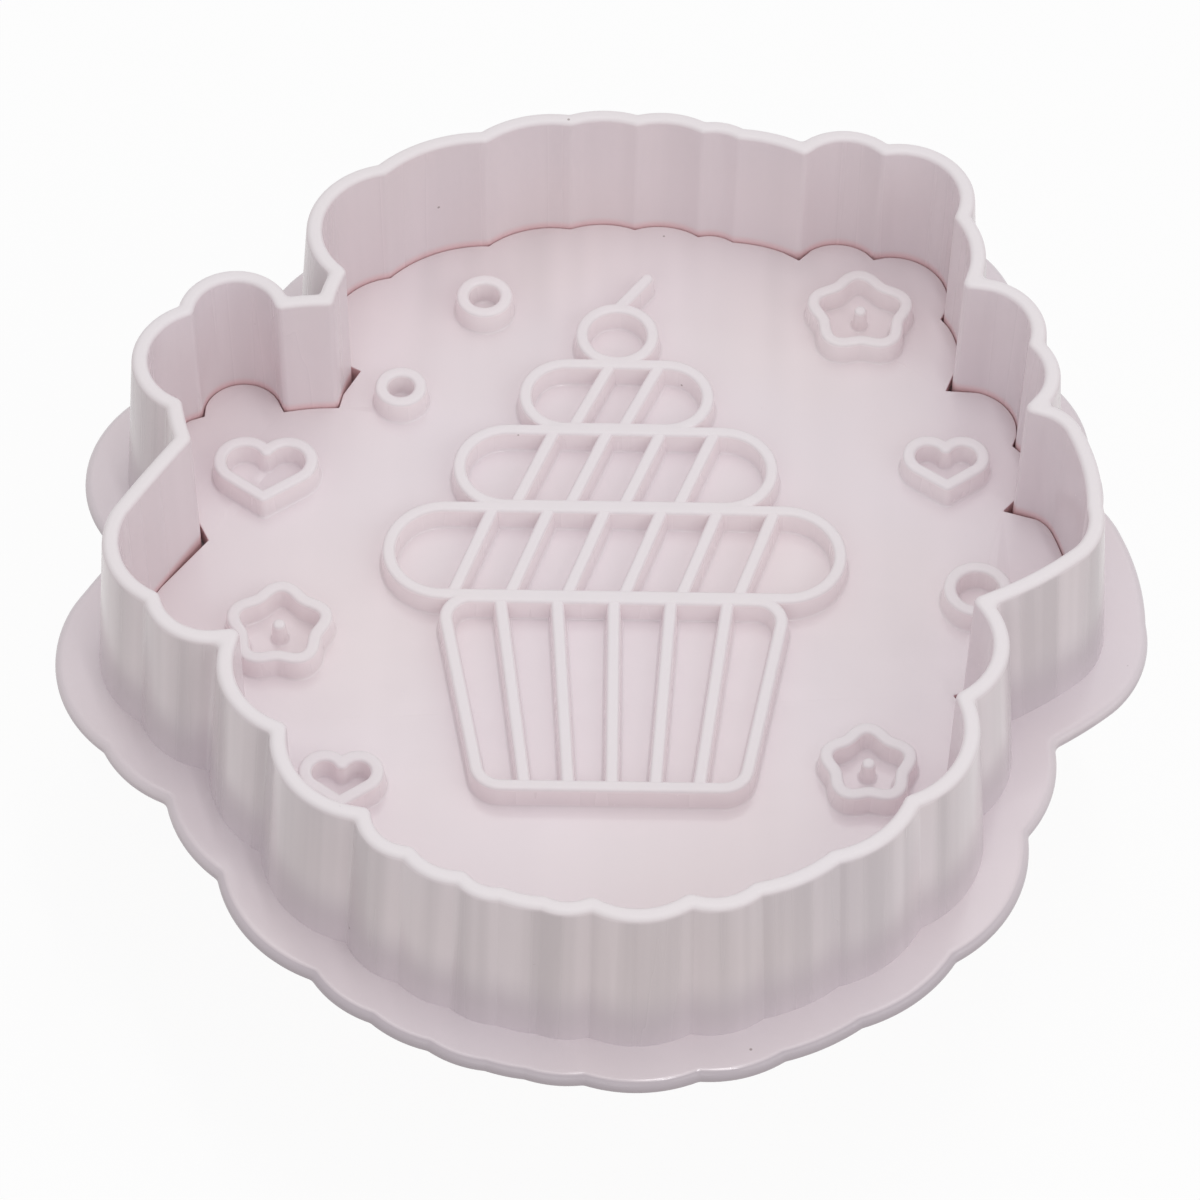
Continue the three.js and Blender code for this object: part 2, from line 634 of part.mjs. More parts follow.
// Least clear space between neighbouring turns of a coiled line
function leastGap(points) {
  let least = Infinity;
  points.forEach((p, i) => {
    for (const q of points.slice(i + Math.ceil(SPRING_STEPS / 2))) {
      least = Math.min(least, p.distanceTo(q) - SPRING_WIRE);
    }
  });
  return least;
}

function returnSpring() {
  const points = springLine();
  console.log(`return_spring: least gap between turns ${leastGap(points).toFixed(2)} mm`);
  const section = circlePoints({ x: 0, y: 0, radius: SPRING_WIRE / 2 }, WIRE_SIDES);
  const extrudePath = new THREE.CatmullRomCurve3(points);
  const steps = points.length - 1;
  const options = { steps, extrudePath, bevelEnabled: false };
  return solidOf(new THREE.ExtrudeGeometry(new THREE.Shape(section), options));
}

// The assembly
const lilacPlastic = { color: 0xe3d9dc, roughness: 0.42, metalness: 0 };
const springSteel = { color: 0xb9bcc0, roughness: 0.3, metalness: 1 };
const zincSteel = { color: 0xc3c6c8, roughness: 0.38, metalness: 1 };
const pieces = [
  ["cutter_shell", cutterShell, lilacPlastic],
  ["stamp_plate", stampPlate, lilacPlastic],
  ["push_knob", pushKnob, lilacPlastic],
  ["knob_cap", knobCap, lilacPlastic],
  ["return_spring", returnSpring, springSteel],
  ["clamp_screw", clampScrew, zincSteel],
  ["screw_washer", screwWasher, zincSteel],
];

const pastryStamp = new THREE.Group();
for (const [name, make, finish] of pieces) {
  const mesh = new THREE.Mesh(geometryOf(make()), new THREE.MeshStandardMaterial(finish));
  mesh.name = name;
  pastryStamp.add(mesh);
}

export default pastryStamp;
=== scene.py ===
"""Looks of the pastry stamp: scalloped cutter, stamp plate with a raised design, and sprung knob behind it.

Metres, in the frame of the solids: +Z runs from the knob's push face to the cutting rim, -Y to the camera.
"""
import json
from functools import partial

import bmesh
import bpy
import numpy as np
from mathutils import Matrix, Vector
from mathutils.geometry import delaunay_2d_cdt

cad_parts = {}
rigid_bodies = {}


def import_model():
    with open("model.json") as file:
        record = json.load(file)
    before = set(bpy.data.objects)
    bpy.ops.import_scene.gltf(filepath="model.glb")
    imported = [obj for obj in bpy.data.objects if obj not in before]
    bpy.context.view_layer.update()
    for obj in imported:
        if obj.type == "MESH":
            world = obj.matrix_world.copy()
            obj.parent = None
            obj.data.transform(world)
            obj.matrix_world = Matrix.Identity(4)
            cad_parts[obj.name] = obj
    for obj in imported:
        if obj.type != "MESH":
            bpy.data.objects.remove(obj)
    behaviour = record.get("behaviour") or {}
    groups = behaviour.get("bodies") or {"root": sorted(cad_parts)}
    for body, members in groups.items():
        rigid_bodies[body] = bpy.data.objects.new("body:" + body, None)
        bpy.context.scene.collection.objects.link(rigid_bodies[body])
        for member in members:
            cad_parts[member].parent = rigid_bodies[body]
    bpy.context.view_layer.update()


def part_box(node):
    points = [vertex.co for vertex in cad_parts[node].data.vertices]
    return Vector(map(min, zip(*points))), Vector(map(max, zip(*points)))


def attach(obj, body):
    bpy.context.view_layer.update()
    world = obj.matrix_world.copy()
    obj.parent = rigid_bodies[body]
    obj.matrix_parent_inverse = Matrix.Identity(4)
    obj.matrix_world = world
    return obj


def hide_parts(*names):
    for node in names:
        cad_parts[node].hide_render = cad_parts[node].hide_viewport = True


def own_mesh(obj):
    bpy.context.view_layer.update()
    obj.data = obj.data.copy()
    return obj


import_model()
MM = 0.001

# Levels and radii that the solids give
SLEEVE_Z, RIM_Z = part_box("cutter_shell")[0].z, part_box("cutter_shell")[1].z
HUB_Z, RELIEF_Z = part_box("stamp_plate")[0].z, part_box("stamp_plate")[1].z
COLLAR_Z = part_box("push_knob")[1].z
KNOB_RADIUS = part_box("push_knob")[1].x
CAP_TOP_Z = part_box("knob_cap")[1].z
CAP_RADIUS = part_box("knob_cap")[1].x
SCREW_Z, SCREW_TIP_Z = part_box("clamp_screw")[0].z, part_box("clamp_screw")[1].z
SCREW_HEAD_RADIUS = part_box("clamp_screw")[1].x
WASHER_Z, RECESS_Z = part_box("screw_washer")[0].z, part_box("screw_washer")[1].z
WASHER_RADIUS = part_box("screw_washer")[1].x
SPRING_LOW_Z, SPRING_HIGH_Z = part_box("return_spring")[0].z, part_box("return_spring")[1].z

# Cutter shell
RIM_WALL = 1.3 * MM
RIM_OUTER_ROUND = 0.5 * MM
RIM_INNER_ROUND = 0.4 * MM
WALL_HEIGHT = 14.5 * MM
WALL_DRAFT = 1.3 * MM
FLANGE_REACH = 4.8 * MM
FLANGE_THICKNESS = 1.8 * MM
FLANGE_TOP_ROUND = 0.7 * MM
FLANGE_LAND = 0.2 * MM  # level strip next to the top round
FLANGE_BACK_ROUND = 0.25 * MM
FLANGE_EDGE = 0.98 * MM  # thickness at the edge, to which the back rises
FLANGE_TAPER = 3 * MM  # width over which the back rises
RIDGE_ROUNDS = (0.9 * MM, 0.65 * MM)  # inner ridges of the wall, from shallow to deep
NOTCH_ROUND = 0.5 * MM  # outer notches of the wall
NOTCH_TURNS = np.radians((30, 90))  # what counts as a shallow and as a deep corner
FLANGE_NOTCH_ROUND = 0.9 * MM
KINK_ROUND = 4 * MM  # where two sides of the outline meet almost in line
SLEEVE_RADIUS = 7.5 * MM
BORE_RADIUS = 4.8 * MM
SEAT_RING_INSIDE = 10.1 * MM
SEAT_RING_OUTSIDE = 11.7 * MM
SEAT_RING_HEIGHT = 1.5 * MM
BACK_ROUND = 0.3 * MM  # edges of the sleeve, seat ring and collar
FLANGE_TOP_Z = RIM_Z - WALL_HEIGHT
WEB_Z = FLANGE_TOP_Z - FLANGE_THICKNESS

# Stamp plate
PLATE_GAP = 0.07 * MM
PLATE_NOTCH_ROUND = 0.12 * MM
PLATE_NOTCH_SPARE = (0.3 * MM, 0.9 * MM)  # how much deeper its deep notches are cut, and over which reach
PLATE_SLITS = {  # corners where it stands off in a slit or fits close: spare, reach before and after, in mm
    0: (0.55, 1.9, 0.5), 32: (0.45, 5, 1.8), 35: (0, 0, 0), 36: (0, 0, 0),
}
PLATE_REST_GAP = 0.3 * MM
PLATE_EDGE_ROUND = 0.1 * MM
RELIEF_HEIGHT = 2 * MM
RELIEF_LINE = 1.25 * MM
RELIEF_DRAFT = 0.1 * MM
RELIEF_TOP_ROUND = 0.3 * MM
RELIEF_FOOT_ROUND = 0.33 * MM
RELIEF_ROOT = 0.4 * MM
TIER_LOWER = 0.012 * MM  # each tier of icing is lower than the last by this, so that no tops are level
BAR_LOWER = 0.06 * MM  # pleats and ropes are this much lower than the lines they join
RELIEF_SINK = 0.02 * MM  # the foot's edge dips this far into the plate
HUB_RADIUS = 4.5 * MM
PILOT_RADIUS = 1.7 * MM
PILOT_SPARE = 2 * MM
PLATE_Z = FLANGE_TOP_Z + PLATE_REST_GAP
PLATE_TOP_Z = RELIEF_Z - RELIEF_HEIGHT

# Scalloped rim, clockwise from the neck at the left of the back, in millimetres: corner x, y and the crown
# of the arc that runs from it to the next corner
OUTLINE = MM * np.array([
    [-23.1, 20.3, 3.6], [-19.7, 32.3, 0.9], [-11.4, 36.2, 0.8], [-4.2, 38.3, 0.5], [1.4, 38.4, 0.6],
    [7, 37.7, 0.3], [10.1, 37, 0.25], [14.9, 35.6, 1.4], [21.9, 35.5, 3], [28.4, 27.5, 0.7],
    [29, 20.9, 1.9], [33.7, 14.1, 1.1], [33.6, 7.7, 0.45], [36.2, 5, 0.4], [37.3, -2.5, 0.6],
    [35.8, -7.4, 0.3], [28.6, -12.2, 1.8], [26.7, -21.2, 2], [22.3, -30.9, 0.9], [16.4, -36, 0.4],
    [10.8, -38.9, 0.7], [5.8, -40.1, 1.05], [-1.4, -40.5, 0.4], [-5, -40.4, 0.15], [-8, -39.7, 0.4],
    [-11.1, -38.3, 0.5], [-15, -36.2, 0.8], [-18.6, -32.8, 1.9], [-25.2, -25.1, 1.6], [-29.4, -16.9, 1.35],
    [-35.3, -13.1, 1.8], [-38.4, -4.1, 0.05], [-34.2, 3, 0.05], [-35, 6, 3.2], [-34.8, 16.6, 3.3],
    [-26.2, 17.8, 0.05], [-23.7, 18.1, 0.05],
])
NO_SPARE = np.zeros((3, len(OUTLINE)))
SIDE_STEP = 0.4 * MM
CORNER_POINTS = 5
ROUND_SHARES = np.linspace(0, 1, 6)  # steps round an edge
TURN_STEPS = 160  # facets round turned pieces
FLAT_MERGE = 0.000001 * MM  # points of a level face that count as one
SKIN_MERGE = 0.0001 * MM  # points of skins that meet
JOIN_MERGE = 0.003 * MM  # points that the joining of raised lines leaves close together
SHARP_ANGLE = np.radians(40)  # edges that turn more than this stay sharp

# Raised design: a cupcake with roped icing, and hearts, blossoms and rings round it, in millimetres
WRAPPER = MM * np.array([[-10, -22], [10, -22], [13.5, -4], [-13.5, -4]])
WRAPPER_CORNER = 2 * MM
PLEAT_SHARES = (-0.66, -0.33, 0, 0.33, 0.66)
ICING_TIERS = (  # half width, radius, ropes
    (13.4 * MM, 4.4 * MM, 6), (8.6 * MM, 3.9 * MM, 4), (4 * MM, 3.4 * MM, 2),
)
ICING_LIFT = 0.3 * MM
ROPE_LEAN = 3 * MM
LINE_TUCK = 0.3 * MM
CHERRY_RADIUS = 2.9 * MM
CHERRY_STALK = MM * np.array([2.6, 3.6])
HEARTS = MM * np.array([[-28, 9.5, 3.2], [26.5, 11, 2.6], [-20.5, -21, 2.4]])  # x, y, size
HEART_LOBE, HEART_APART, HEART_TIP = 0.62, 0.53, 1.15  # lobe radius, its offset and the tip, by the size
BLOSSOMS = MM * np.array([[-26, -7, 3.4], [20, 26.5, 3.6], [19.5, -19.5, 3]])  # x, y, radius
PETALS = 5
PETAL_DEPTH = 0.105  # share of the radius
RINGS = MM * np.array([[-11, 27.5, 1.8], [28.5, -2.5, 2.2], [-17.5, 17.5, 1.6]])  # x, y, radius
LOOP_STEPS = 96  # points round a curved loop
FAN_STEPS = 7  # points round a heart's tip or notch
BAR_END_STEPS = 12

# Knob, spring and fastening
KNOB_TOP_Z = COLLAR_Z - 2 * MM
KNOB_ROUND = 2 * MM
SPRING_GROOVE = 1.5 * MM
SOCKET_Z = HUB_Z
CAP_GAP = 0.2 * MM
CAP_THICKNESS = 1.4 * MM
CAP_EDGE_ROUND = 0.3 * MM
CAP_SKIRT_OUTSIDE = 3.9 * MM
CAP_SKIRT_WALL = 0.9 * MM
RECESS_RADIUS = 4.1 * MM
SCREW_HOLE_RADIUS = 1.7 * MM
SCREW_RADIUS = 1.5 * MM
SCREW_CORE = 1.15 * MM
SCREW_PITCH = 1 * MM
SCREW_POINT = 2 * MM
SCREW_POINT_SHARE = 0.02  # width left at its very end
THREAD_FLANK = 2.2  # slope of the thread's sides, in its heights per pitch
SHANK_STEPS = 220
SCREW_HEAD_BEVEL = 0.7 * MM
SCREW_HEAD_LEAN = 0.1 * MM
SCREW_HEAD_ROUND = 0.15 * MM
SLOT_REACH = 1.7 * MM
SLOT_HALF = 0.4 * MM
SLOT_DEPTH = 1 * MM
SLOT_TAPER = 0.55  # size of its floor
WASHER_ROUND = 0.12 * MM
WIRE_RADIUS = 0.55 * MM
COIL_RADIUS = 8.85 * MM
COIL_TURNS = 5.5
CLOSED_TURNS = 0.75  # at each end, wire against wire
COIL_STEPS = 64  # points in a turn
PITCH_STEPS = 16  # points over which the pitch changes
WIRE_STEPS = 14

# Camera of the photograph, whose frame is 1200 by 1200 pixels
CAMERA_AIM = MM * np.array([-1.09, -12.46, 41.8])
CAMERA_DISTANCE = 329.2 * MM
CAMERA_HEIGHT_ANGLE = np.radians(52)
CAMERA_ROLL = np.radians(0.855)
CAMERA_FOCUS_PIXELS = 4389.4
FRAME_PIXELS = 1200
SENSOR = 36
CAMERA_NEAR = 10 * MM

# Finishes and painted light and shade: linear colours, cells of noise in a metre, and shares where no unit
# is given
PLASTIC = (0.835, 0.757, 0.792)
PLASTIC_WARM = (0.84, 0.752, 0.772)
# whiter painted sheen above a height
PLASTIC_SHEEN = (0.87, 0.84, 0.855)
# painted light on the sides of raised lines, for light that goes through them
PLASTIC_LIT = (0.98, 0.9, 0.915)
# painted shade at the foot of the wall and on the flange outside
PLASTIC_SHADE = (0.66, 0.585, 0.635)
# painted shade on the flange's edge, most at the front
PLASTIC_EDGE_SHADE = (0.56, 0.498, 0.538)
# pinker painted shade and glow in the gap between wall and plate
PLASTIC_GAP_SHADE = (0.86, 0.6, 0.62)
PLASTIC_TONES = 0.9, 1.1  # darkest and lightest streak
EVEN_TONE = 0.5  # between the two, where there is no streak
DRIFT_CELLS = 45
DRIFT_RANGE = 0.35, 0.65  # of the noise, from the plain colour to the warm one
PLASTIC_ROUGHNESS = 0.16
DRAWN_ROUGHNESS = 0.26
RUBBED_ROUGHNESS = 0.5
PLASTIC_RIPPLE = {"Ripples_Per_Metre": 220, "Grains_Per_Metre": 5000, "Grain": 0.06}
RIPPLE_DEPTH = 0.04 * MM
UPRIGHT_RIPPLE = 0.3  # on upright faces
UPRIGHT_UP_TO = 0.25  # height of the normal of a face that counts as upright
LEVEL_FROM = 0.6  # and of one that counts as level
STREAK_SPREAD = 2.2  # of a streak's noise about nought
STREAK_CELLS = (330, 330, 8)
FINE_STREAK_CELLS = (900, 900, 15)
FINE_STREAK_SHARE = 0.35
STREAK_TONE = 0.1
OUTER_STREAK_TONE = 0.85
RELIEF_STREAK_TONE = 0.03
STREAK_GLOSS = -0.05  # how a streak changes the roughness
STREAK_RELIEF = 0.07  # and the ripple's height
REFLECTED_STREAK_CELLS = (260, 12, 260)
REFLECTED_STREAK_TONE = 0.32  # painted streaks of light that the walls reflect onto the plate, at its back
REFLECTED_STREAK_FRONT = 0.2  # of that, at its front
REFLECTED_STREAK_FROM = 16 * MM  # along +Y, where it begins to grow
REFLECTED_STREAK_TO = 32 * MM
RELIEF_LIT = 0.35, 1  # painted light at the foot and at the top of a raised line's sides
# painted shade and a painted reflection of the flange on the foot of the wall outside
FOOT_SHADE = 0.65
FOOT_SHADE_FROM = 2 * MM  # heights above the flange
FOOT_SHADE_TO = 7 * MM
# painted shade on the flange's top outside
FLANGE_SHADE = 0.3
EDGE_FULL = 0.44  # of the flange's edge, on either side of its middle, where its painted shade is full
EDGE_FRONT = -40 * MM  # along Y: up to here the painted shade on the flange's edge is full
EDGE_SIDE = -16 * MM  # and from here on it is hardly so
EDGE_SIDE_SHARE = 0.2
# pinker painted shade and glow on upright faces inside, in the gap just above the plate
GAP_SHADE = 0.9
GAP_SHADE_REACH = 0.9 * MM  # above the plate
# whiter painted sheen on the rim and the tops of raised lines, where the finish is also duller
RIM_SHEEN = 0.5
DULL_AND_SHEEN_DEPTH = 0.35 * MM
SPECK = (0.2, 0.14, 0.12)
SPECKS = {"Cells_Per_Metre": (170, 170, 170), "Size": 0.024, "Share": 1}
SPECK_TONE = 0.6
SCRATCH = (0.55, 0.47, 0.47)
SCRATCHES = {"Cells_Per_Metre": (90, 1300, 1300), "Turn": (0.2, 0.5, 0.6), "Size": 0.09, "Share": 0.015}
SCRATCH_TONE = 0.25
SCRATCH_ROUGHNESS = 0.2  # above that round it
MARK_CORE = 0.6  # of a mark's size, where it is full
WIRE = {"colour": (0.62, 0.62, 0.63), "roughness": 0.3, "line_tone": 0.1}
ZINC = {"colour": (0.68, 0.7, 0.72), "roughness": 0.38, "line_tone": 0}
METAL_TONES = 0.8, 1.05
METAL_GLOSS = -0.12  # how a light tone changes the roughness
METAL_RIPPLE = {"Ripples_Per_Metre": 900, "Grains_Per_Metre": 9000, "Grain": 0.4}
METAL_RIPPLE_DEPTH = 0.02 * MM
METAL_RIPPLE_STRENGTH = 0.15
METAL_CLOUD = 0.4, 1, 0.2, 0.8  # range of the ripple and the tones that it gives
METAL_LINE_CELLS = (6000, 6000, 200)
STAINS = {"Cells_Per_Metre": (900, 900, 900), "Size": 0.3, "Share": 0.15}
STAIN_ROUGHNESS = 0.1

# Light
WORLD_LEVEL = 0.575
FLOOR_LEVEL = 0.33
UNDER_LEVEL = 0.95  # below the stamp, so that its back isn't left dim
UNDER_REACHES = 36 * MM, 56 * MM  # from the axis: full below the stamp up to the first, gone at the second
FLOOR_GLOW = (1, 0.91, 0.87)
FLOOR_SHADOW = 0.08  # share of the floor's look that takes the shadow
FLOOR_WHITE = 0.9
WHITE = (1, 1, 1)
FLOOR_REACH = 3.0
FLOOR_BACK = 1.0  # how far the floor's middle lies behind the stamp
FLOOR_Z = -0.05 * MM
LAMPS = (  # name, place, width, length, power
    ("overhead", (0.0, 0.3, 0.8), 0.45, 0.45, 0.63),
    ("front_fill", (0.48, -0.42, 0.6), 0.5, 0.5, 0.6),
    ("left_fill", (-0.15, -0.6, 0.5), 0.5, 0.5, 0.4),
    ("right_box", (0.6, -0.2, 0.35), 0.4, 0.4, 0.26),
    ("strip", (0.08, 0.03, 0.78), 0.42, 0.03, 0.65),
)


def unit(angle):
    """Points of the unit circle at the given angles."""
    return np.stack([np.cos(angle), np.sin(angle)], -1)


def angle_of(vectors):
    """Angles of vectors from +X, counter-clockwise."""
    return np.arctan2(vectors[..., 1], vectors[..., 0])


def right_of(vectors):
    """Vectors turned a quarter turn to the right."""
    return np.stack([vectors[..., 1], -vectors[..., 0]], -1)


def normed(vectors):
    """Vectors brought to a length of one."""
    return vectors / np.linalg.norm(vectors, axis=-1, keepdims=True)


def lifted(ring, z):
    """A flat ring of points at height z."""
    return np.column_stack([ring, np.full(len(ring), z)])


def outline_arcs():
    """Side i of the outline is an arc whose middle stands c proud of its chord. With half a chord h its
    radius is (h h + c c) / 2c, and its centre lies radius - c inside the chord's middle. At a notch the
    outward normal jumps back, a turn to the left."""
    start, crown = OUTLINE[:, :2], OUTLINE[:, 2]
    chord = np.roll(start, -1, 0) - start
    half = np.linalg.norm(chord, axis=1) / 2
    radius = (half**2 + crown**2) / (2 * crown)
    outward = -right_of(normed(chord))
    centre = start + chord / 2 + outward * (crown - radius)[:, None]
    normal = start - centre
    normal_before = start - np.roll(centre, 1, 0)
    turn = (angle_of(normal) - angle_of(normal_before) + np.pi) % (2 * np.pi) - np.pi
    steps = np.ceil(4 * np.arctan2(crown, half) * radius / SIDE_STEP).astype(int) + 2
    return centre, radius, turn, steps


CENTRES, RADII, TURNS, STEPS = outline_arcs()
NOTCHES = TURNS > 0


def outline_hubs(sides, offset, notch_round, notch_spare):
    """Corner circles of an outline moved outward by an offset, and the angles at which sides and circles
    start and end. At each corner a circle of signed radius q touches both sides: outside them in a notch
    (q > 0), inside them at a kink (q < 0). Its hub lies offset + q off the outline. On the outer side
    that is where circles of radius R + offset + q about the two centres cross. On the inner side the arcs
    run on along their tangents, and the hub lies on the bisector b of the corner's normals n, at (offset
    + q) / (b . n). There a spare may cut a notch deeper, from a reach before it to a reach after it."""
    centre = CENTRES[sides]
    centre_before = np.roll(centre, 1, 0)
    corner = OUTLINE[sides, :2]
    notch = NOTCHES[sides]
    rounds = np.broadcast_to(notch_round, len(OUTLINE))[sides]
    touch = np.where(notch, rounds, -KINK_ROUND - offset)
    arm = RADII[sides] + offset + touch
    arm_before = np.roll(RADII[sides], 1) + offset + touch
    across = centre - centre_before
    span = np.linalg.norm(across, axis=1)
    along = (span**2 + arm_before**2 - arm**2) / (2 * span)
    rise = np.sqrt(np.maximum(arm_before**2 - along**2, 0)) * np.where(notch, 1, -1)
    hub = centre_before + (across * along[:, None] - right_of(across) * rise[:, None]) / span[:, None]
    turn_from = angle_of((centre_before - hub) * np.sign(touch)[:, None])
    turn_to = angle_of((centre - hub) * np.sign(touch)[:, None])
    first = angle_of(hub - centre)
    last = angle_of(hub - centre_before)
    normal_before, normal = normed(corner - centre_before), normed(corner - centre)
    bisector = normed(normal_before + normal)
    spare, reach_before, reach_after = notch_spare[:, sides]
    depth = (offset + rounds) / (bisector * normal).sum(1) - spare
    inner = notch & (offset + rounds < 0)
    hub = np.where(inner[:, None], corner + bisector * depth[:, None], hub)
    turn_from = np.where(inner, angle_of(-normal_before), turn_from)
    turn_to = np.where(inner, angle_of(-normal), turn_to)
    first = np.where(inner, angle_of(normal) - reach_after / RADII[sides], first)
    last = np.where(inner, angle_of(normal_before) + reach_before / np.roll(RADII[sides], 1), last)
    sweep = (first - np.roll(last, -1)) % (2 * np.pi)
    turn = (turn_to - turn_from + np.pi) % (2 * np.pi) - np.pi
    return hub, abs(touch), turn_from, turn, first, sweep


def outline_ring(offset, notch_round, notch_spare=NO_SPARE):
    """The outline moved outward by an offset, counter-clockwise: side i is an arc of radius R + offset
    about its centre, and the corners are rounded. A side that its neighbours swallow, so that its sweep
    turns back, is left out, and its points go round the corner, so that all rings have equally many."""
    sides = np.arange(len(OUTLINE))
    while True:
        hub, touch, turn_from, turn, first, sweep = outline_hubs(sides, offset, notch_round, notch_spare)
        if sweep.max() < np.pi:
            break
        sides = np.delete(sides, np.argmax(np.where(sweep > np.pi, 2 * np.pi - sweep, 0)))
    corner_points = np.full(len(OUTLINE), CORNER_POINTS)
    for lost in np.setdiff1d(np.arange(len(OUTLINE)), sides):
        corner_points[lost - len(OUTLINE) + 1] += corner_points[lost] + STEPS[lost]
    runs = []
    for k, side in enumerate(sides):
        corner_shares = np.linspace(0, 1, corner_points[side] + 2)[1:-1]
        side_shares = np.linspace(0, 1, STEPS[side])
        runs.append(hub[k] + touch[k] * unit(turn_from[k] + turn[k] * corner_shares))
        runs.append(CENTRES[side] + (RADII[side] + offset) * unit(first[k] - sweep[k] * side_shares))
    return np.roll(np.concatenate(runs), CORNER_POINTS - corner_points[0], 0)[::-1]


def circle_ring(radius, steps=TURN_STEPS):
    """Even points round a circle about the axis, counter-clockwise."""
    return radius * unit(np.arange(steps) * 2 * np.pi / steps)


def rounded(centre, radius, start):
    """Profile points of a rounded edge: a quarter turn to the left about a centre, from a start angle."""
    return np.array(centre) + radius * unit(start + ROUND_SHARES * np.pi / 2)


def hollow(centre, radius, start):
    """Profile points of a hollow edge: a quarter turn to the right about a centre."""
    return np.array(centre) + radius * unit(start - ROUND_SHARES * np.pi / 2)


def band(rings):
    """Skin over a run of rings with equally many points: quad (i, j) joins points j and j + 1 of rings i
    and i + 1. Counter-clockwise rings that climb give a skin that faces out."""
    levels, count = len(rings), len(rings[0])
    index = np.arange(levels * count).reshape(levels, count)
    low, high = index[:-1], index[1:]
    quads = np.stack([low, np.roll(low, -1, 1), np.roll(high, -1, 1), high], -1)
    return np.concatenate(rings), quads.reshape(-1, 4).tolist()


def turned(profile):
    """Skin of a turned piece: each profile point (radius, height) goes round the Z axis."""
    return band([lifted(circle_ring(radius), z) for radius, z in profile])


def within(points, ring):
    """Which points lie inside a ring: a ray along +X crosses its edges an odd number of times."""
    x, y = points[:, :1], points[:, 1:]
    x0, y0 = ring.T
    x1, y1 = np.roll(ring, -1, 0).T
    spans = (y0 > y) != (y1 > y)
    rise = np.where(y1 == y0, 1, y1 - y0)
    return (spans & (x < x0 + (y - y0) / rise * (x1 - x0))).sum(1) % 2 == 1


def flat(rings, z, up=True):
    """Level face between rings: a triangulation that keeps their edges and leaves the inner rings open."""
    first = 0
    edges = []
    for ring in rings:
        run = first + np.arange(len(ring))
        edges.extend(zip(run.tolist(), np.roll(run, -1).tolist()))
        first += len(ring)
    inside_of_edges = 1
    made = delaunay_2d_cdt(np.concatenate(rings).tolist(), edges, [], inside_of_edges, FLAT_MERGE)
    points, faces = np.array(made[0]), np.array(made[2])
    for ring in rings[1:]:
        faces = faces[~within(points[faces].mean(1), ring)]
    return lifted(points, z), (faces if up else faces[:, ::-1]).tolist()


def clean(mesh, merge):
    """Merge points closer than a distance, drop faces without area and face the rest out."""
    work = bmesh.new()
    work.from_mesh(mesh)
    bmesh.ops.remove_doubles(work, verts=work.verts, dist=merge)
    bmesh.ops.dissolve_degenerate(work, edges=work.edges, dist=merge)
    bmesh.ops.recalc_face_normals(work, faces=work.faces)
    work.to_mesh(mesh)
    work.free()


def mesh_of(name, skins, drawn=None):
    """One closed mesh from skins that meet at equal points. The drawn places, if any, are points at which a
    pattern is read instead of at the mesh's own."""
    points, faces, first = [], [], 0
    for skin_points, skin_faces in skins:
        points.append(skin_points)
        faces.extend([[first + k for k in face] for face in skin_faces])
        first += len(skin_points)
    mesh = bpy.data.meshes.new(name)
    mesh.from_pydata(np.concatenate(points).tolist(), [], faces)
    if drawn:
        mesh.attributes.new("drawn_place", "FLOAT_VECTOR", "POINT")
        mesh.attributes["drawn_place"].data.foreach_set("vector", np.concatenate(drawn).ravel())
    clean(mesh, SKIN_MERGE)
    return mesh


def piece(mesh, material, body, node):
    """A finished piece: smooth but for its true edges, riding on its body and standing for its solid."""
    mesh.polygons.foreach_set("use_smooth", np.ones(len(mesh.polygons), bool))
    mesh.set_sharp_from_angle(angle=SHARP_ANGLE)
    mesh.materials.clear()
    mesh.materials.append(material)
    made = bpy.data.objects.new(mesh.name, mesh)
    bpy.context.scene.collection.objects.link(made)
    weighted = made.modifiers.new("even_faces", "WEIGHTED_NORMAL")
    weighted.keep_sharp = True
    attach(made, body)
    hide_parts(node)
    return made


# Cutter shell
def wall_section():
    """Wall from the flange up its drafted outer face, over the rounded rim and down inside: offset from the
    rim's outline and height."""
    rim_outer = (-RIM_OUTER_ROUND, RIM_Z - RIM_OUTER_ROUND)
    rim_inner = (RIM_INNER_ROUND - RIM_WALL, RIM_Z - RIM_INNER_ROUND)
    return np.concatenate([
        [(WALL_DRAFT, FLANGE_TOP_Z)],
        rounded(rim_outer, RIM_OUTER_ROUND, 0),
        rounded(rim_inner, RIM_INNER_ROUND, np.pi / 2),
        [(-RIM_WALL, FLANGE_TOP_Z)],
    ])


def flange_section():
    """Flange edge from its back, which rises towards the edge, up to its top: offset from the rim's outline
    and height."""
    edge_z = FLANGE_TOP_Z - FLANGE_EDGE
    back = (FLANGE_REACH - FLANGE_BACK_ROUND, edge_z + FLANGE_BACK_ROUND)
    top = (FLANGE_REACH - FLANGE_TOP_ROUND, FLANGE_TOP_Z - FLANGE_TOP_ROUND)
    return np.concatenate([
        [(FLANGE_REACH - FLANGE_TAPER, WEB_Z)],
        rounded(back, FLANGE_BACK_ROUND, -np.pi / 2),
        rounded(top, FLANGE_TOP_ROUND, 0),
        [(FLANGE_REACH - FLANGE_TOP_ROUND - FLANGE_LAND, FLANGE_TOP_Z)],
    ])


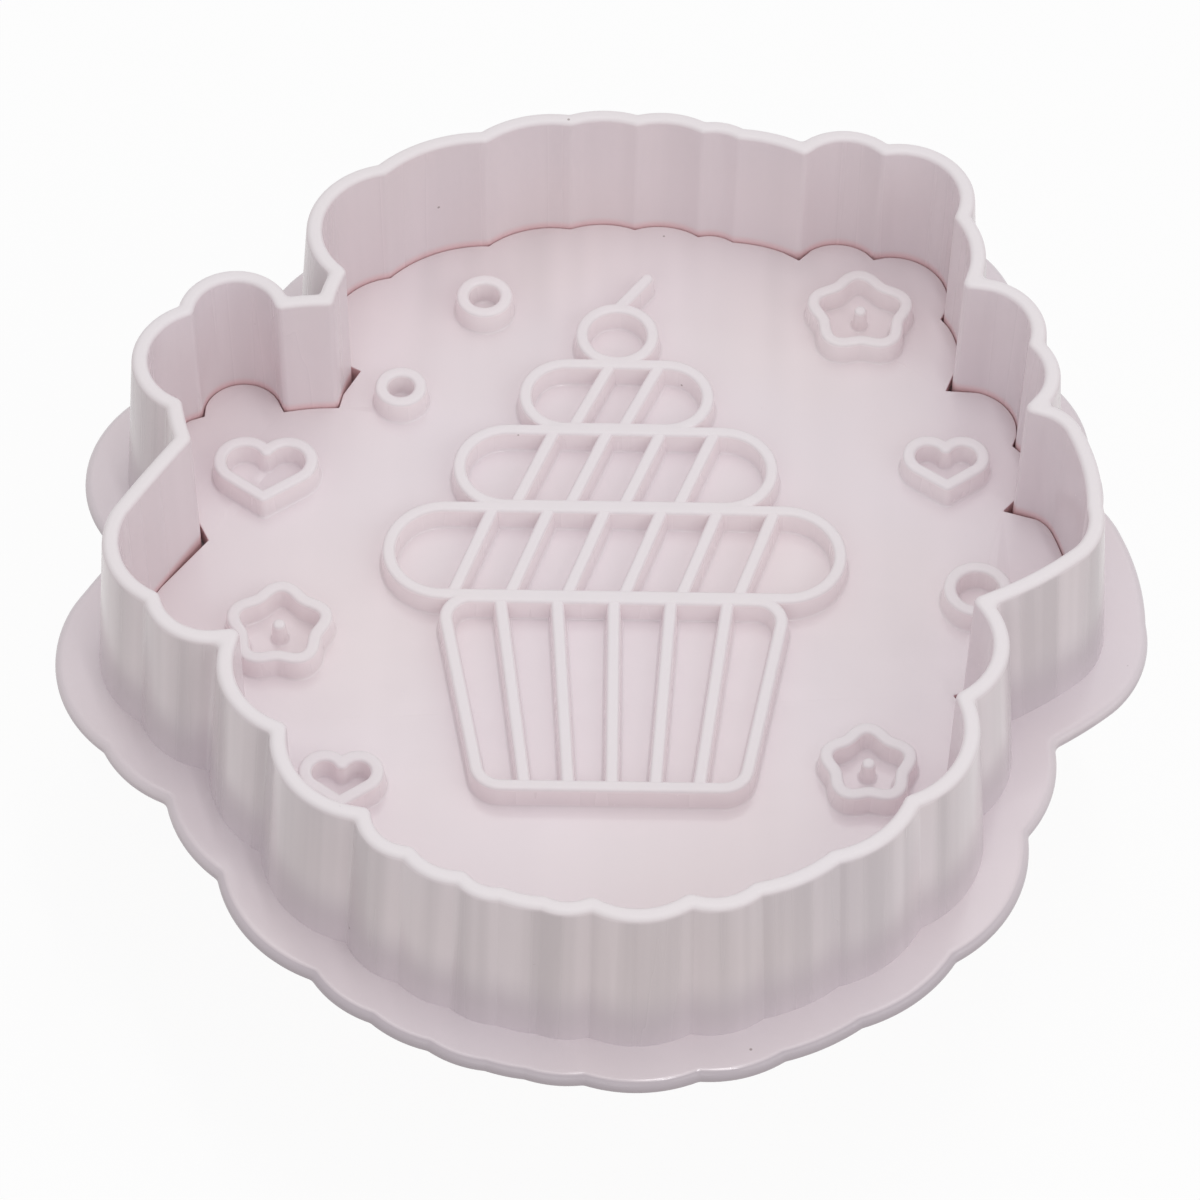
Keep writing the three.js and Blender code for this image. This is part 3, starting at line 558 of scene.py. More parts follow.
def back_profile():
    """Bore, sleeve and seat ring behind the web: radius and height."""
    inside = BORE_RADIUS + BACK_ROUND
    outside = SLEEVE_RADIUS - BACK_ROUND
    ring_z = WEB_Z - SEAT_RING_HEIGHT + BACK_ROUND
    return np.concatenate([
        [(BORE_RADIUS, FLANGE_TOP_Z)],
        rounded((inside, SLEEVE_Z + BACK_ROUND), BACK_ROUND, np.pi),
        rounded((outside, SLEEVE_Z + BACK_ROUND), BACK_ROUND, -np.pi / 2),
        hollow((SLEEVE_RADIUS + BACK_ROUND, WEB_Z - BACK_ROUND), BACK_ROUND, np.pi),
        hollow((SEAT_RING_INSIDE - BACK_ROUND, WEB_Z - BACK_ROUND), BACK_ROUND, np.pi / 2),
        rounded((SEAT_RING_INSIDE + BACK_ROUND, ring_z), BACK_ROUND, np.pi),
        rounded((SEAT_RING_OUTSIDE - BACK_ROUND, ring_z), BACK_ROUND, -np.pi / 2),
        hollow((SEAT_RING_OUTSIDE + BACK_ROUND, WEB_Z - BACK_ROUND), BACK_ROUND, np.pi),
    ])


def cutter_shell(material):
    """Wall and flange carried round the outline, the turned back, and the level faces that join them. For
    the finish, points outside the middle of the wall are marked, and the outline is unrolled on a circle
    of its own length, so that a streak runs straight up the wall."""
    wall = wall_section()
    ridges = np.interp(TURNS, NOTCH_TURNS, RIDGE_ROUNDS)
    inward = np.clip(-wall[:, :1] / RIM_WALL, 0, 1)
    rounds = NOTCH_ROUND + (ridges - NOTCH_ROUND) * inward
    wall_rings = [outline_ring(offset, notch_round) for offset, notch_round in zip(wall[:, 0], rounds)]
    flange = flange_section()
    flange_rings = [outline_ring(offset, FLANGE_NOTCH_ROUND) for offset, _ in flange]
    back = back_profile()
    bore_ring = circle_ring(BORE_RADIUS)
    back_ring = circle_ring(back[-1, 0])
    outline = outline_ring(0, NOTCH_ROUND)
    steps = np.linalg.norm(np.roll(outline, -1, 0) - outline, axis=1)
    length = steps.sum()
    unrolled = length / (2 * np.pi) * unit(2 * np.pi * np.cumsum(steps) / length)
    skins = [
        band([lifted(ring, z) for ring, z in zip(wall_rings, wall[:, 1])]),
        band([lifted(ring, z) for ring, z in zip(flange_rings, flange[:, 1])]),
        turned(back),
        flat([flange_rings[-1], wall_rings[0]], FLANGE_TOP_Z),
        flat([wall_rings[-1], bore_ring], FLANGE_TOP_Z),
        flat([flange_rings[0], back_ring], WEB_Z, up=False),
    ]
    drawn = [
        np.concatenate([lifted(unrolled, z) for z in wall[:, 1]]),
        np.concatenate([lifted(unrolled, z) for z in flange[:, 1]]),
        skins[2][0],
        lifted(np.concatenate([unrolled, unrolled]), FLANGE_TOP_Z),
        lifted(np.concatenate([unrolled, bore_ring]), FLANGE_TOP_Z),
        lifted(np.concatenate([unrolled, back_ring]), WEB_Z),
    ]
    mesh = mesh_of("cutter_moulding", skins, drawn)
    points = np.empty(3 * len(mesh.vertices))
    mesh.vertices.foreach_get("co", points)
    middle = outline_ring(-RIM_WALL / 2, NOTCH_ROUND)
    outside = mesh.attributes.new("outside", "FLOAT", "POINT")
    outside.data.foreach_set("value", ~within(points.reshape(-1, 3)[:, :2], middle))
    piece(mesh, material, "cutter", "cutter_shell")


# Stamp plate
def plate_spare():
    """How far the plate stands off the wall's inner ridges: by a notch's turn, but for the slits."""
    depth, reach = PLATE_NOTCH_SPARE
    spare = np.interp(TURNS, NOTCH_TURNS, (0, 1)) * np.array([[depth], [reach], [reach]])
    for corner, sizes in PLATE_SLITS.items():
        spare[:, corner] = MM * np.array(sizes)
    return spare


def plate_mesh():
    """Plate inside the wall with the hub and its pilot hole behind it."""
    inset = RIM_WALL + PLATE_GAP
    edge = np.concatenate([
        [(-inset, PLATE_Z)],
        rounded((-inset - PLATE_EDGE_ROUND, PLATE_TOP_Z - PLATE_EDGE_ROUND), PLATE_EDGE_ROUND, 0),
    ])
    spare = plate_spare()
    rings = [outline_ring(offset, PLATE_NOTCH_ROUND, spare) for offset, _ in edge]
    pilot_z = SCREW_TIP_Z + PILOT_SPARE
    hub = np.concatenate([
        [(PILOT_RADIUS, pilot_z), (PILOT_RADIUS, HUB_Z)],
        rounded((HUB_RADIUS - BACK_ROUND, HUB_Z + BACK_ROUND), BACK_ROUND, -np.pi / 2),
        [(HUB_RADIUS, PLATE_Z)],
    ])
    skins = [
        band([lifted(ring, z) for ring, z in zip(rings, edge[:, 1])]),
        turned(hub),
        flat([rings[-1]], PLATE_TOP_Z),
        flat([rings[0], circle_ring(HUB_RADIUS)], PLATE_Z, up=False),
        flat([circle_ring(PILOT_RADIUS)], pilot_z, up=False),
    ]
    return mesh_of("stamp_plate_body", skins)


def relief_section(lower):
    """Half of a raised line's section, from its root up to a top that may be a little lower than the
    highest: distance from the line's middle and height."""
    half = RELIEF_LINE / 2
    top_z = RELIEF_Z - lower
    foot = (half + RELIEF_FOOT_ROUND, PLATE_TOP_Z + RELIEF_FOOT_ROUND - RELIEF_SINK)
    top = half - RELIEF_DRAFT - RELIEF_TOP_ROUND
    return np.concatenate([
        [(half + RELIEF_FOOT_ROUND, PLATE_TOP_Z - RELIEF_ROOT - lower)],
        hollow(foot, RELIEF_FOOT_ROUND, -np.pi / 2),
        rounded((top, top_z - RELIEF_TOP_ROUND), RELIEF_TOP_ROUND, 0),
    ])


def loop_ridge(edge_ring, lower=0):
    """Raised line along a closed line: the section climbs along the rings outside the line, comes down
    along those inside it, and closes underneath."""
    section = relief_section(lower)
    up = [lifted(edge_ring(reach), z) for reach, z in section]
    down = [lifted(edge_ring(-reach), z) for reach, z in section[::-1]]
    return mesh_of("ridge", [band([*up, *down, up[0]])])


def island_ridge(rings, heights):
    """Raised island: rings that climb, closed below and on top."""
    return mesh_of("ridge", [
        band([lifted(ring, z) for ring, z in zip(rings, heights)]),
        flat([rings[0]], heights[0], up=False),
        flat([rings[-1]], heights[-1]),
    ])


def bar_ridge(start, end, lower=0):
    """Straight raised line: at each level of the section a stadium, two half circles joined by straight
    sides, runs round the line from start to end, each end tucked in."""
    run = normed(end - start)
    half_turn = angle_of(run) + np.linspace(-np.pi / 2, np.pi / 2, BAR_END_STEPS)
    spokes = np.concatenate([unit(half_turn), unit(half_turn + np.pi)])
    ends = np.repeat([end - run * LINE_TUCK, start + run * LINE_TUCK], BAR_END_STEPS, 0)
    section = relief_section(lower)
    return island_ridge([ends + spokes * reach for reach in section[:, 0]], section[:, 1])


def dot_ridge(place):
    """Round raised dot: the section turned about the dot's middle."""
    section = relief_section(0)
    rings = [place + circle_ring(reach, 2 * BAR_END_STEPS) for reach in section[:, 0]]
    return island_ridge(rings, section[:, 1])


def pill_ring(y, half, radius):
    """Ring of two half circles about (half, y) and (-half, y)."""
    half_turn = np.linspace(-np.pi / 2, np.pi / 2, LOOP_STEPS // 2)
    right = np.array([half, y]) + radius * unit(half_turn)
    left = np.array([-half, y]) + radius * unit(half_turn + np.pi)
    return np.concatenate([right, left])


def round_ring(x, y, radius, reach):
    """Ring at a reach outside a circle about (x, y)."""
    return np.array([x, y]) + circle_ring(radius + reach, LOOP_STEPS)


def wrapper_ring(reach):
    """Ring round the tapered wrapper: at each corner an arc about a fixed centre touches both sides."""
    to_before = normed(np.roll(WRAPPER, 1, 0) - WRAPPER)
    to_after = normed(np.roll(WRAPPER, -1, 0) - WRAPPER)
    half = np.arccos((to_before * to_after).sum(1)) / 2
    middle = normed(to_before + to_after)
    centre = WRAPPER + middle * (WRAPPER_CORNER / np.sin(half))[:, None]
    share = np.linspace(-1, 1, LOOP_STEPS // 8)
    angle = (angle_of(-middle)[:, None] + (np.pi / 2 - half)[:, None] * share).ravel()
    return np.repeat(centre, len(share), 0) + (WRAPPER_CORNER + reach) * unit(angle)


def heart_ring(x, y, size, reach):
    """Ring round a heart of two lobes, whose tangents meet in the tip and whose arcs meet in the notch.
    Outside the line a fan goes round the tip and the lobes meet in a crease; inside it the sides meet in a
    crease over the tip and a fan goes round the notch. The left half mirrors the right."""
    lobe, apart, tip = size * HEART_LOBE, size * HEART_APART, size * HEART_TIP
    touch = np.arctan2(-tip, -apart) + np.arccos(lobe / np.hypot(apart, tip))
    notch = np.pi - np.arccos(apart / lobe)
    notch_y = lobe * np.sin(notch)
    arc_end = np.pi - np.arccos(apart / (lobe + max(reach, 0)))
    arc = np.array([apart, 0]) + (lobe + reach) * unit(np.linspace(touch, arc_end, LOOP_STEPS // 3))
    if reach > 0:
        tip_run = np.array([0, -tip]) + reach * unit(np.linspace(-np.pi / 2, touch, FAN_STEPS))
        notch_run = np.repeat(arc[-1:], FAN_STEPS, 0)
    else:
        tip_run = np.repeat([[0, reach / np.sin(touch) - tip]], FAN_STEPS, 0)
        notch_run = np.array([0, notch_y]) + reach * unit(np.linspace(notch, np.pi / 2, FAN_STEPS))
    right = np.concatenate([tip_run, arc, notch_run])
    return np.array([x, y]) + np.concatenate([right, right[::-1] * np.array([-1, 1])])


def blossom_ring(x, y, radius, reach):
    """Ring beside a line whose radius swings once for each petal, r = R (1 + depth cos(petals a)), at a
    reach along its normal (r cos a + r' sin a, r sin a - r' cos a)."""
    angle = np.arange(2 * LOOP_STEPS) * np.pi / LOOP_STEPS
    r = radius * (1 + PETAL_DEPTH * np.cos(PETALS * angle))[:, None]
    slope = -radius * PETAL_DEPTH * PETALS * np.sin(PETALS * angle)[:, None]
    out = unit(angle + np.pi / 2)
    return np.array([x, y]) + r * out + reach * normed(r * out + slope * right_of(out))


def wrapper_ridges():
    """The wrapper's edge, and pleats that run down it at like shares of its top and bottom."""
    (bottom_half, bottom), (top_half, top) = WRAPPER[1:3]
    pleats = [
        bar_ridge(np.array([share * top_half, top]), np.array([share * bottom_half, bottom]), BAR_LOWER)
        for share in PLEAT_SHARES
    ]
    return [loop_ridge(wrapper_ring), *pleats]


def icing_ridges():
    """Tiers of icing, each a pill on top of the one below, with leaning ropes across it, and a cherry."""
    made = []
    bottom = WRAPPER[2, 1] + ICING_LIFT
    lower = TIER_LOWER
    for half, radius, ropes in ICING_TIERS:
        top = bottom + 2 * radius
        made.append(loop_ridge(lambda reach: pill_ring(bottom + radius, half, radius + reach), lower))
        for x in half * ((2 * np.arange(ropes) + 1) / ropes - 1):
            foot = np.array([x - ROPE_LEAN / 2, bottom])
            head = np.array([x + ROPE_LEAN / 2, top])
            made.append(bar_ridge(foot, head, BAR_LOWER + lower))
        bottom = top + ICING_LIFT
        lower += TIER_LOWER
    cherry = np.array([0, bottom + CHERRY_RADIUS])
    stalk = cherry + np.array([0, CHERRY_RADIUS])
    made.append(loop_ridge(partial(round_ring, *cherry, CHERRY_RADIUS), lower))
    made.append(bar_ridge(stalk, stalk + CHERRY_STALK, BAR_LOWER))
    return made


def ornament_ridges():
    """Hearts, blossoms with a dot in the middle, and rings, each at its own place."""
    hearts = [loop_ridge(partial(heart_ring, *heart)) for heart in HEARTS]
    blossoms = [loop_ridge(partial(blossom_ring, *blossom)) for blossom in BLOSSOMS]
    dots = [dot_ridge(blossom[:2]) for blossom in BLOSSOMS]
    rings = [loop_ridge(partial(round_ring, *ring)) for ring in RINGS]
    return [*hearts, *blossoms, *dots, *rings]


def stamp_plate(material):
    """Plate and raised lines joined into one closed skin."""
    base = bpy.data.objects.new("plate_base", plate_mesh())
    lines = bpy.data.collections.new("raised_lines")
    for ridge in [*wrapper_ridges(), *icing_ridges(), *ornament_ridges()]:
        lines.objects.link(bpy.data.objects.new("raised_line", ridge))
    bpy.context.scene.collection.objects.link(base)
    bpy.context.scene.collection.children.link(lines)
    join = base.modifiers.new("join", "BOOLEAN")
    join.operation = "UNION"
    join.solver = "MANIFOLD"
    join.operand_type = "COLLECTION"
    join.collection = lines
    bpy.context.view_layer.update()
    mesh = bpy.data.meshes.new_from_object(base.evaluated_get(bpy.context.evaluated_depsgraph_get()))
    mesh.name = "stamp_plate_moulding"
    clean(mesh, JOIN_MERGE)
    for scrap in [base, *lines.objects]:
        bpy.data.objects.remove(scrap)
    bpy.data.collections.remove(lines)
    piece(mesh, material, "plunger", "stamp_plate")


# Knob, cap, spring and fastening
def push_knob(material):
    """Knob turned in one run: push face, rounded rim, spring groove, collar, socket and screw's recess."""
    cap_recess = CAP_RADIUS + CAP_GAP
    groove_z = KNOB_TOP_Z - SPRING_GROOVE
    edge = KNOB_RADIUS - KNOB_ROUND
    profile = np.concatenate([
        [(cap_recess, CAP_THICKNESS)],
        rounded((cap_recess + BACK_ROUND, BACK_ROUND), BACK_ROUND, np.pi),
        rounded((edge, KNOB_ROUND), KNOB_ROUND, -np.pi / 2),
        rounded((edge, KNOB_TOP_Z - KNOB_ROUND), KNOB_ROUND, 0),
        rounded((SEAT_RING_INSIDE + BACK_ROUND, KNOB_TOP_Z - BACK_ROUND), BACK_ROUND, np.pi / 2),
        hollow((SEAT_RING_INSIDE - BACK_ROUND, groove_z + BACK_ROUND), BACK_ROUND, 0),
        hollow((SLEEVE_RADIUS + BACK_ROUND, groove_z + BACK_ROUND), BACK_ROUND, -np.pi / 2),
        rounded((SLEEVE_RADIUS - BACK_ROUND, COLLAR_Z - BACK_ROUND), BACK_ROUND, 0),
        rounded((BORE_RADIUS + BACK_ROUND, COLLAR_Z - BACK_ROUND), BACK_ROUND, np.pi / 2),
        [(BORE_RADIUS, SOCKET_Z), (SCREW_HOLE_RADIUS, SOCKET_Z), (SCREW_HOLE_RADIUS, RECESS_Z)],
        [(RECESS_RADIUS, RECESS_Z), (RECESS_RADIUS, CAP_THICKNESS), (cap_recess, CAP_THICKNESS)],
    ])
    mesh = mesh_of("push_knob_moulding", [turned(profile)])
    piece(mesh, material, "plunger", "push_knob")


def knob_cap(material):
    """Cap with a soft edge and the ring that plugs the screw's recess."""
    skirt_inside = CAP_SKIRT_OUTSIDE - CAP_SKIRT_WALL
    profile = np.concatenate([
        rounded((CAP_RADIUS - CAP_EDGE_ROUND, CAP_EDGE_ROUND), CAP_EDGE_ROUND, -np.pi / 2),
        [(CAP_RADIUS, CAP_THICKNESS), (CAP_SKIRT_OUTSIDE, CAP_THICKNESS), (CAP_SKIRT_OUTSIDE, CAP_TOP_Z)],
        [(skirt_inside, CAP_TOP_Z), (skirt_inside, CAP_THICKNESS)],
    ])
    skins = [
        turned(profile),
        flat([circle_ring(profile[0, 0])], 0, up=False),
        flat([circle_ring(skirt_inside)], CAP_THICKNESS),
    ]
    piece(mesh_of("knob_cap_moulding", skins), material, "plunger", "knob_cap")


def return_spring(material):
    """Wire carried along a helix. The pitch is one wire in the closed end turns and even between them:
    the height follows the turns through (0, 0), (closed, d), (turns - closed, H - d) and (turns, H),
    averaged over a few points."""
    low, high = SPRING_LOW_Z + WIRE_RADIUS, SPRING_HIGH_Z - WIRE_RADIUS
    turns = np.linspace(0, COIL_TURNS, int(COIL_TURNS * COIL_STEPS) + 1)
    closed = 2 * WIRE_RADIUS * CLOSED_TURNS
    knots = [0, CLOSED_TURNS, COIL_TURNS - CLOSED_TURNS, COIL_TURNS]
    height = np.interp(turns, knots, [low, low + closed, high - closed, high])
    padded = np.pad(height, PITCH_STEPS // 2, mode="reflect", reflect_type="odd")
    height = np.convolve(padded, np.full(PITCH_STEPS, 1 / PITCH_STEPS), "valid")[: len(turns)]
    path = np.column_stack([COIL_RADIUS * unit(2 * np.pi * turns), height])
    tangent = normed(np.gradient(path, axis=0))
    outward = np.column_stack([unit(2 * np.pi * turns), np.zeros(len(turns))])
    upward = np.cross(outward, tangent)
    spoke = np.arange(WIRE_STEPS) * 2 * np.pi / WIRE_STEPS
    rings = (
        path[:, None]
        + WIRE_RADIUS * np.cos(spoke)[None, :, None] * outward[:, None]
        + WIRE_RADIUS * np.sin(spoke)[None, :, None] * upward[:, None]
    )
    points, faces = band(list(rings))
    last = len(points) - WIRE_STEPS
    faces += [list(range(WIRE_STEPS))[::-1], list(range(last, last + WIRE_STEPS))]
    mesh = mesh_of("return_spring_wire", [(points, faces)])
    made = piece(mesh, material, "cutter", "return_spring")
    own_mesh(made)


def clamp_screw(material):
    """Screw with a bevelled head, a cross recess and a rolled thread: along the shank the radius swings
    between core and crest with the phase z / pitch - angle / turn, and fades towards the point. The cross
    is one arm in four turns."""
    head_flat = SCREW_HEAD_RADIUS - SCREW_HEAD_BEVEL
    turn = np.arange(TURN_STEPS) * 2 * np.pi / TURN_STEPS
    shank = np.linspace(WASHER_Z, SCREW_TIP_Z, SHANK_STEPS)
    phase = (shank[:, None] - WASHER_Z) / SCREW_PITCH - turn[None] / (2 * np.pi)
    crest = (SCREW_RADIUS - SCREW_CORE) * np.clip(1 - THREAD_FLANK * abs(phase % 1 - 0.5), 0, 1)
    taper = np.clip((SCREW_TIP_Z - shank) / SCREW_POINT, SCREW_POINT_SHARE, 1)[:, None]
    reach = (SCREW_CORE + crest) * taper
    thread = [lifted(r[:, None] * unit(turn), z) for r, z in zip(reach, shank)]
    edge = (SCREW_HEAD_RADIUS - SCREW_HEAD_ROUND, WASHER_Z - SCREW_HEAD_ROUND)
    bevel_z = SCREW_Z + SCREW_HEAD_BEVEL
    head = np.concatenate([
        [(head_flat, SCREW_Z), (SCREW_HEAD_RADIUS - SCREW_HEAD_LEAN, bevel_z)],
        [(SCREW_HEAD_RADIUS, bevel_z + BACK_ROUND)],
        rounded(edge, SCREW_HEAD_ROUND, 0),
    ])
    arm = np.array([[SLOT_REACH, -SLOT_HALF], [SLOT_REACH, SLOT_HALF], [SLOT_HALF, SLOT_HALF]])
    cross = np.concatenate([arm, -right_of(arm), -arm, right_of(arm)])
    deep = cross * SLOT_TAPER
    skins = [
        turned(head),
        flat([circle_ring(head[-1, 0]), thread[0][:, :2]], WASHER_Z),
        band(thread),
        flat([thread[-1][:, :2]], SCREW_TIP_Z),
        flat([circle_ring(head_flat), cross], SCREW_Z, up=False),
        band([lifted(deep, SCREW_Z + SLOT_DEPTH), lifted(cross, SCREW_Z)]),
        flat([deep], SCREW_Z + SLOT_DEPTH, up=False),
    ]
    piece(mesh_of("clamp_screw_steel", skins), material, "plunger", "clamp_screw")


def screw_washer(material):
    """Flat washer with a rounded edge on its head side."""
    profile = np.concatenate([
        [(SCREW_HOLE_RADIUS, RECESS_Z), (SCREW_HOLE_RADIUS, WASHER_Z)],
        rounded((WASHER_RADIUS - WASHER_ROUND, WASHER_Z + WASHER_ROUND), WASHER_ROUND, -np.pi / 2),
        [(WASHER_RADIUS, RECESS_Z), (SCREW_HOLE_RADIUS, RECESS_Z)],
    ])
    mesh = mesh_of("screw_washer_steel", [turned(profile)])
    piece(mesh, material, "plunger", "screw_washer")


# Materials
def add(tree, kind, settings=None, **inputs):
    """A shader node with its settings, and values or links on its named inputs (spaces written as _)."""
    made = tree.nodes.new("ShaderNode" + kind)
    for name, value in (settings or {}).items():
        setattr(made, name, value)
    for name, value in inputs.items():
        join(tree, value, made.inputs[name.replace("_", " ")])
    return made


def join(tree, value, socket):
    """Link a socket, or set its value."""
    if isinstance(value, bpy.types.NodeSocket):
        tree.links.new(value, socket)
    else:
        socket.default_value = value


def maths(tree, operation, *values):
    """A Math node's result."""
    made = add(tree, "Math", {"operation": operation})
    for value, socket in zip(values, made.inputs):
        join(tree, value, socket)
    return made.outputs["Value"]


def blended(tree, share, colour_a, colour_b):
    """Colour a turned into colour b by a share."""
    made = add(tree, "Mix", {"data_type": "RGBA"})
    for value, name in ((share, "Factor_Float"), (colour_a, "A_Color"), (colour_b, "B_Color")):
        join(tree, value, next(socket for socket in made.inputs if socket.identifier == name))
    return next(socket for socket in made.outputs if socket.identifier == "Result_Color")


def ranged(tree, value, low, high, to_low, to_high, smooth=False):
    """A value's range stretched to another."""
    made = add(tree, "MapRange", {"interpolation_type": "SMOOTHSTEP" if smooth else "LINEAR"}, Value=value)
    for name, number in (("From Min", low), ("From Max", high), ("To Min", to_low), ("To Max", to_high)):
        join(tree, number, made.inputs[name])
    return made.outputs["Result"]


def effect(name, inputs, output):
    """An empty node group with named inputs, each of a kind, and one output value."""
    tree = bpy.data.node_groups.new(name, "ShaderNodeTree")
    for label, kind in inputs.items():
        tree.interface.new_socket(label, in_out="INPUT", socket_type="NodeSocket" + kind)
    tree.interface.new_socket(output, in_out="OUTPUT", socket_type="NodeSocketFloat")
    taken = tree.nodes.new("NodeGroupInput").outputs
    given = tree.nodes.new("NodeGroupOutput").inputs[output]
    return tree, taken, given


def streaks_effect():
    """Streaks that polishing left in the mould: noise drawn out along the axis with the fewest cells."""
    tree, taken, given = effect("draw_streaks", {"Place": "Vector", "Cells Per Metre": "Vector"}, "Streak")
    cells = add(tree, "Mapping", Vector=taken["Place"], Scale=taken["Cells Per Metre"]).outputs["Vector"]
    noise = add(tree, "TexNoise", Vector=cells, Scale=1, Detail=1).outputs["Fac"]
    join(tree, ranged(tree, noise, 0, 1, -STREAK_SPREAD, STREAK_SPREAD), given)
    return tree


def upright_effect():
    """One on upright faces and nought on level ones, by the height of the normal."""
    tree, taken, given = effect("upright_faces", {"Level From": "Float"}, "Upright")
    normal = add(tree, "SeparateXYZ", Vector=add(tree, "NewGeometry").outputs["Normal"]).outputs["Z"]
    steep = maths(tree, "ABSOLUTE", normal)
    join(tree, ranged(tree, steep, UPRIGHT_UP_TO, taken["Level From"], 1, 0, smooth=True), given)
    return tree


def marks_effect():
    """Small scattered marks: in a share of the cells of a random pattern, one at the cell's middle."""
    kinds = {"Cells Per Metre": "Vector", "Turn": "Vector", "Size": "Float", "Share": "Float"}
    tree, taken, given = effect("scattered_marks", kinds, "Mark")
    place = add(tree, "TexCoord").outputs["Object"]
    turned_place = add(tree, "Mapping", Vector=place, Rotation=taken["Turn"]).outputs["Vector"]
    cells = add(tree, "Mapping", Vector=turned_place, Scale=taken["Cells Per Metre"]).outputs["Vector"]
    pattern = add(tree, "TexVoronoi", Vector=cells, Scale=1)
    core = maths(tree, "MULTIPLY", taken["Size"], MARK_CORE)
    mark = ranged(tree, pattern.outputs["Distance"], core, taken["Size"], 1, 0)
    chance = add(tree, "SeparateColor", Color=pattern.outputs["Color"]).outputs["Red"]
    join(tree, maths(tree, "MULTIPLY", mark, maths(tree, "LESS_THAN", chance, taken["Share"])), given)
    return tree


def ripple_effect():
    """Unevenness of a surface: broad ripples with a finer grain on them."""
    kinds = {"Ripples Per Metre": "Float", "Grains Per Metre": "Float", "Grain": "Float"}
    tree, taken, given = effect("surface_ripple", kinds, "Height")
    place = add(tree, "TexCoord").outputs["Object"]
    broad = add(tree, "TexNoise", Vector=place, Scale=taken["Ripples Per Metre"], Detail=1).outputs["Fac"]
    fine = add(tree, "TexNoise", Vector=place, Scale=taken["Grains Per Metre"], Detail=2).outputs["Fac"]
    join(tree, maths(tree, "MULTIPLY_ADD", fine, taken["Grain"], broad), given)
    return tree


def placed(tree, group, **values):
    """An effect placed in a material with its own values."""
    return add(tree, "Group", {"node_tree": group}, **values).outputs[0]


def shaded(name):
    """A new material, its node tree and its shader."""
    material = bpy.data.materials.new(name)
    material.use_nodes = True
    return material, material.node_tree, material.node_tree.nodes["Principled BSDF"]


def tint(colour, share=1.0):
    """A share of a colour, opaque."""
    return (*(share * np.array(colour)).tolist(), 1)


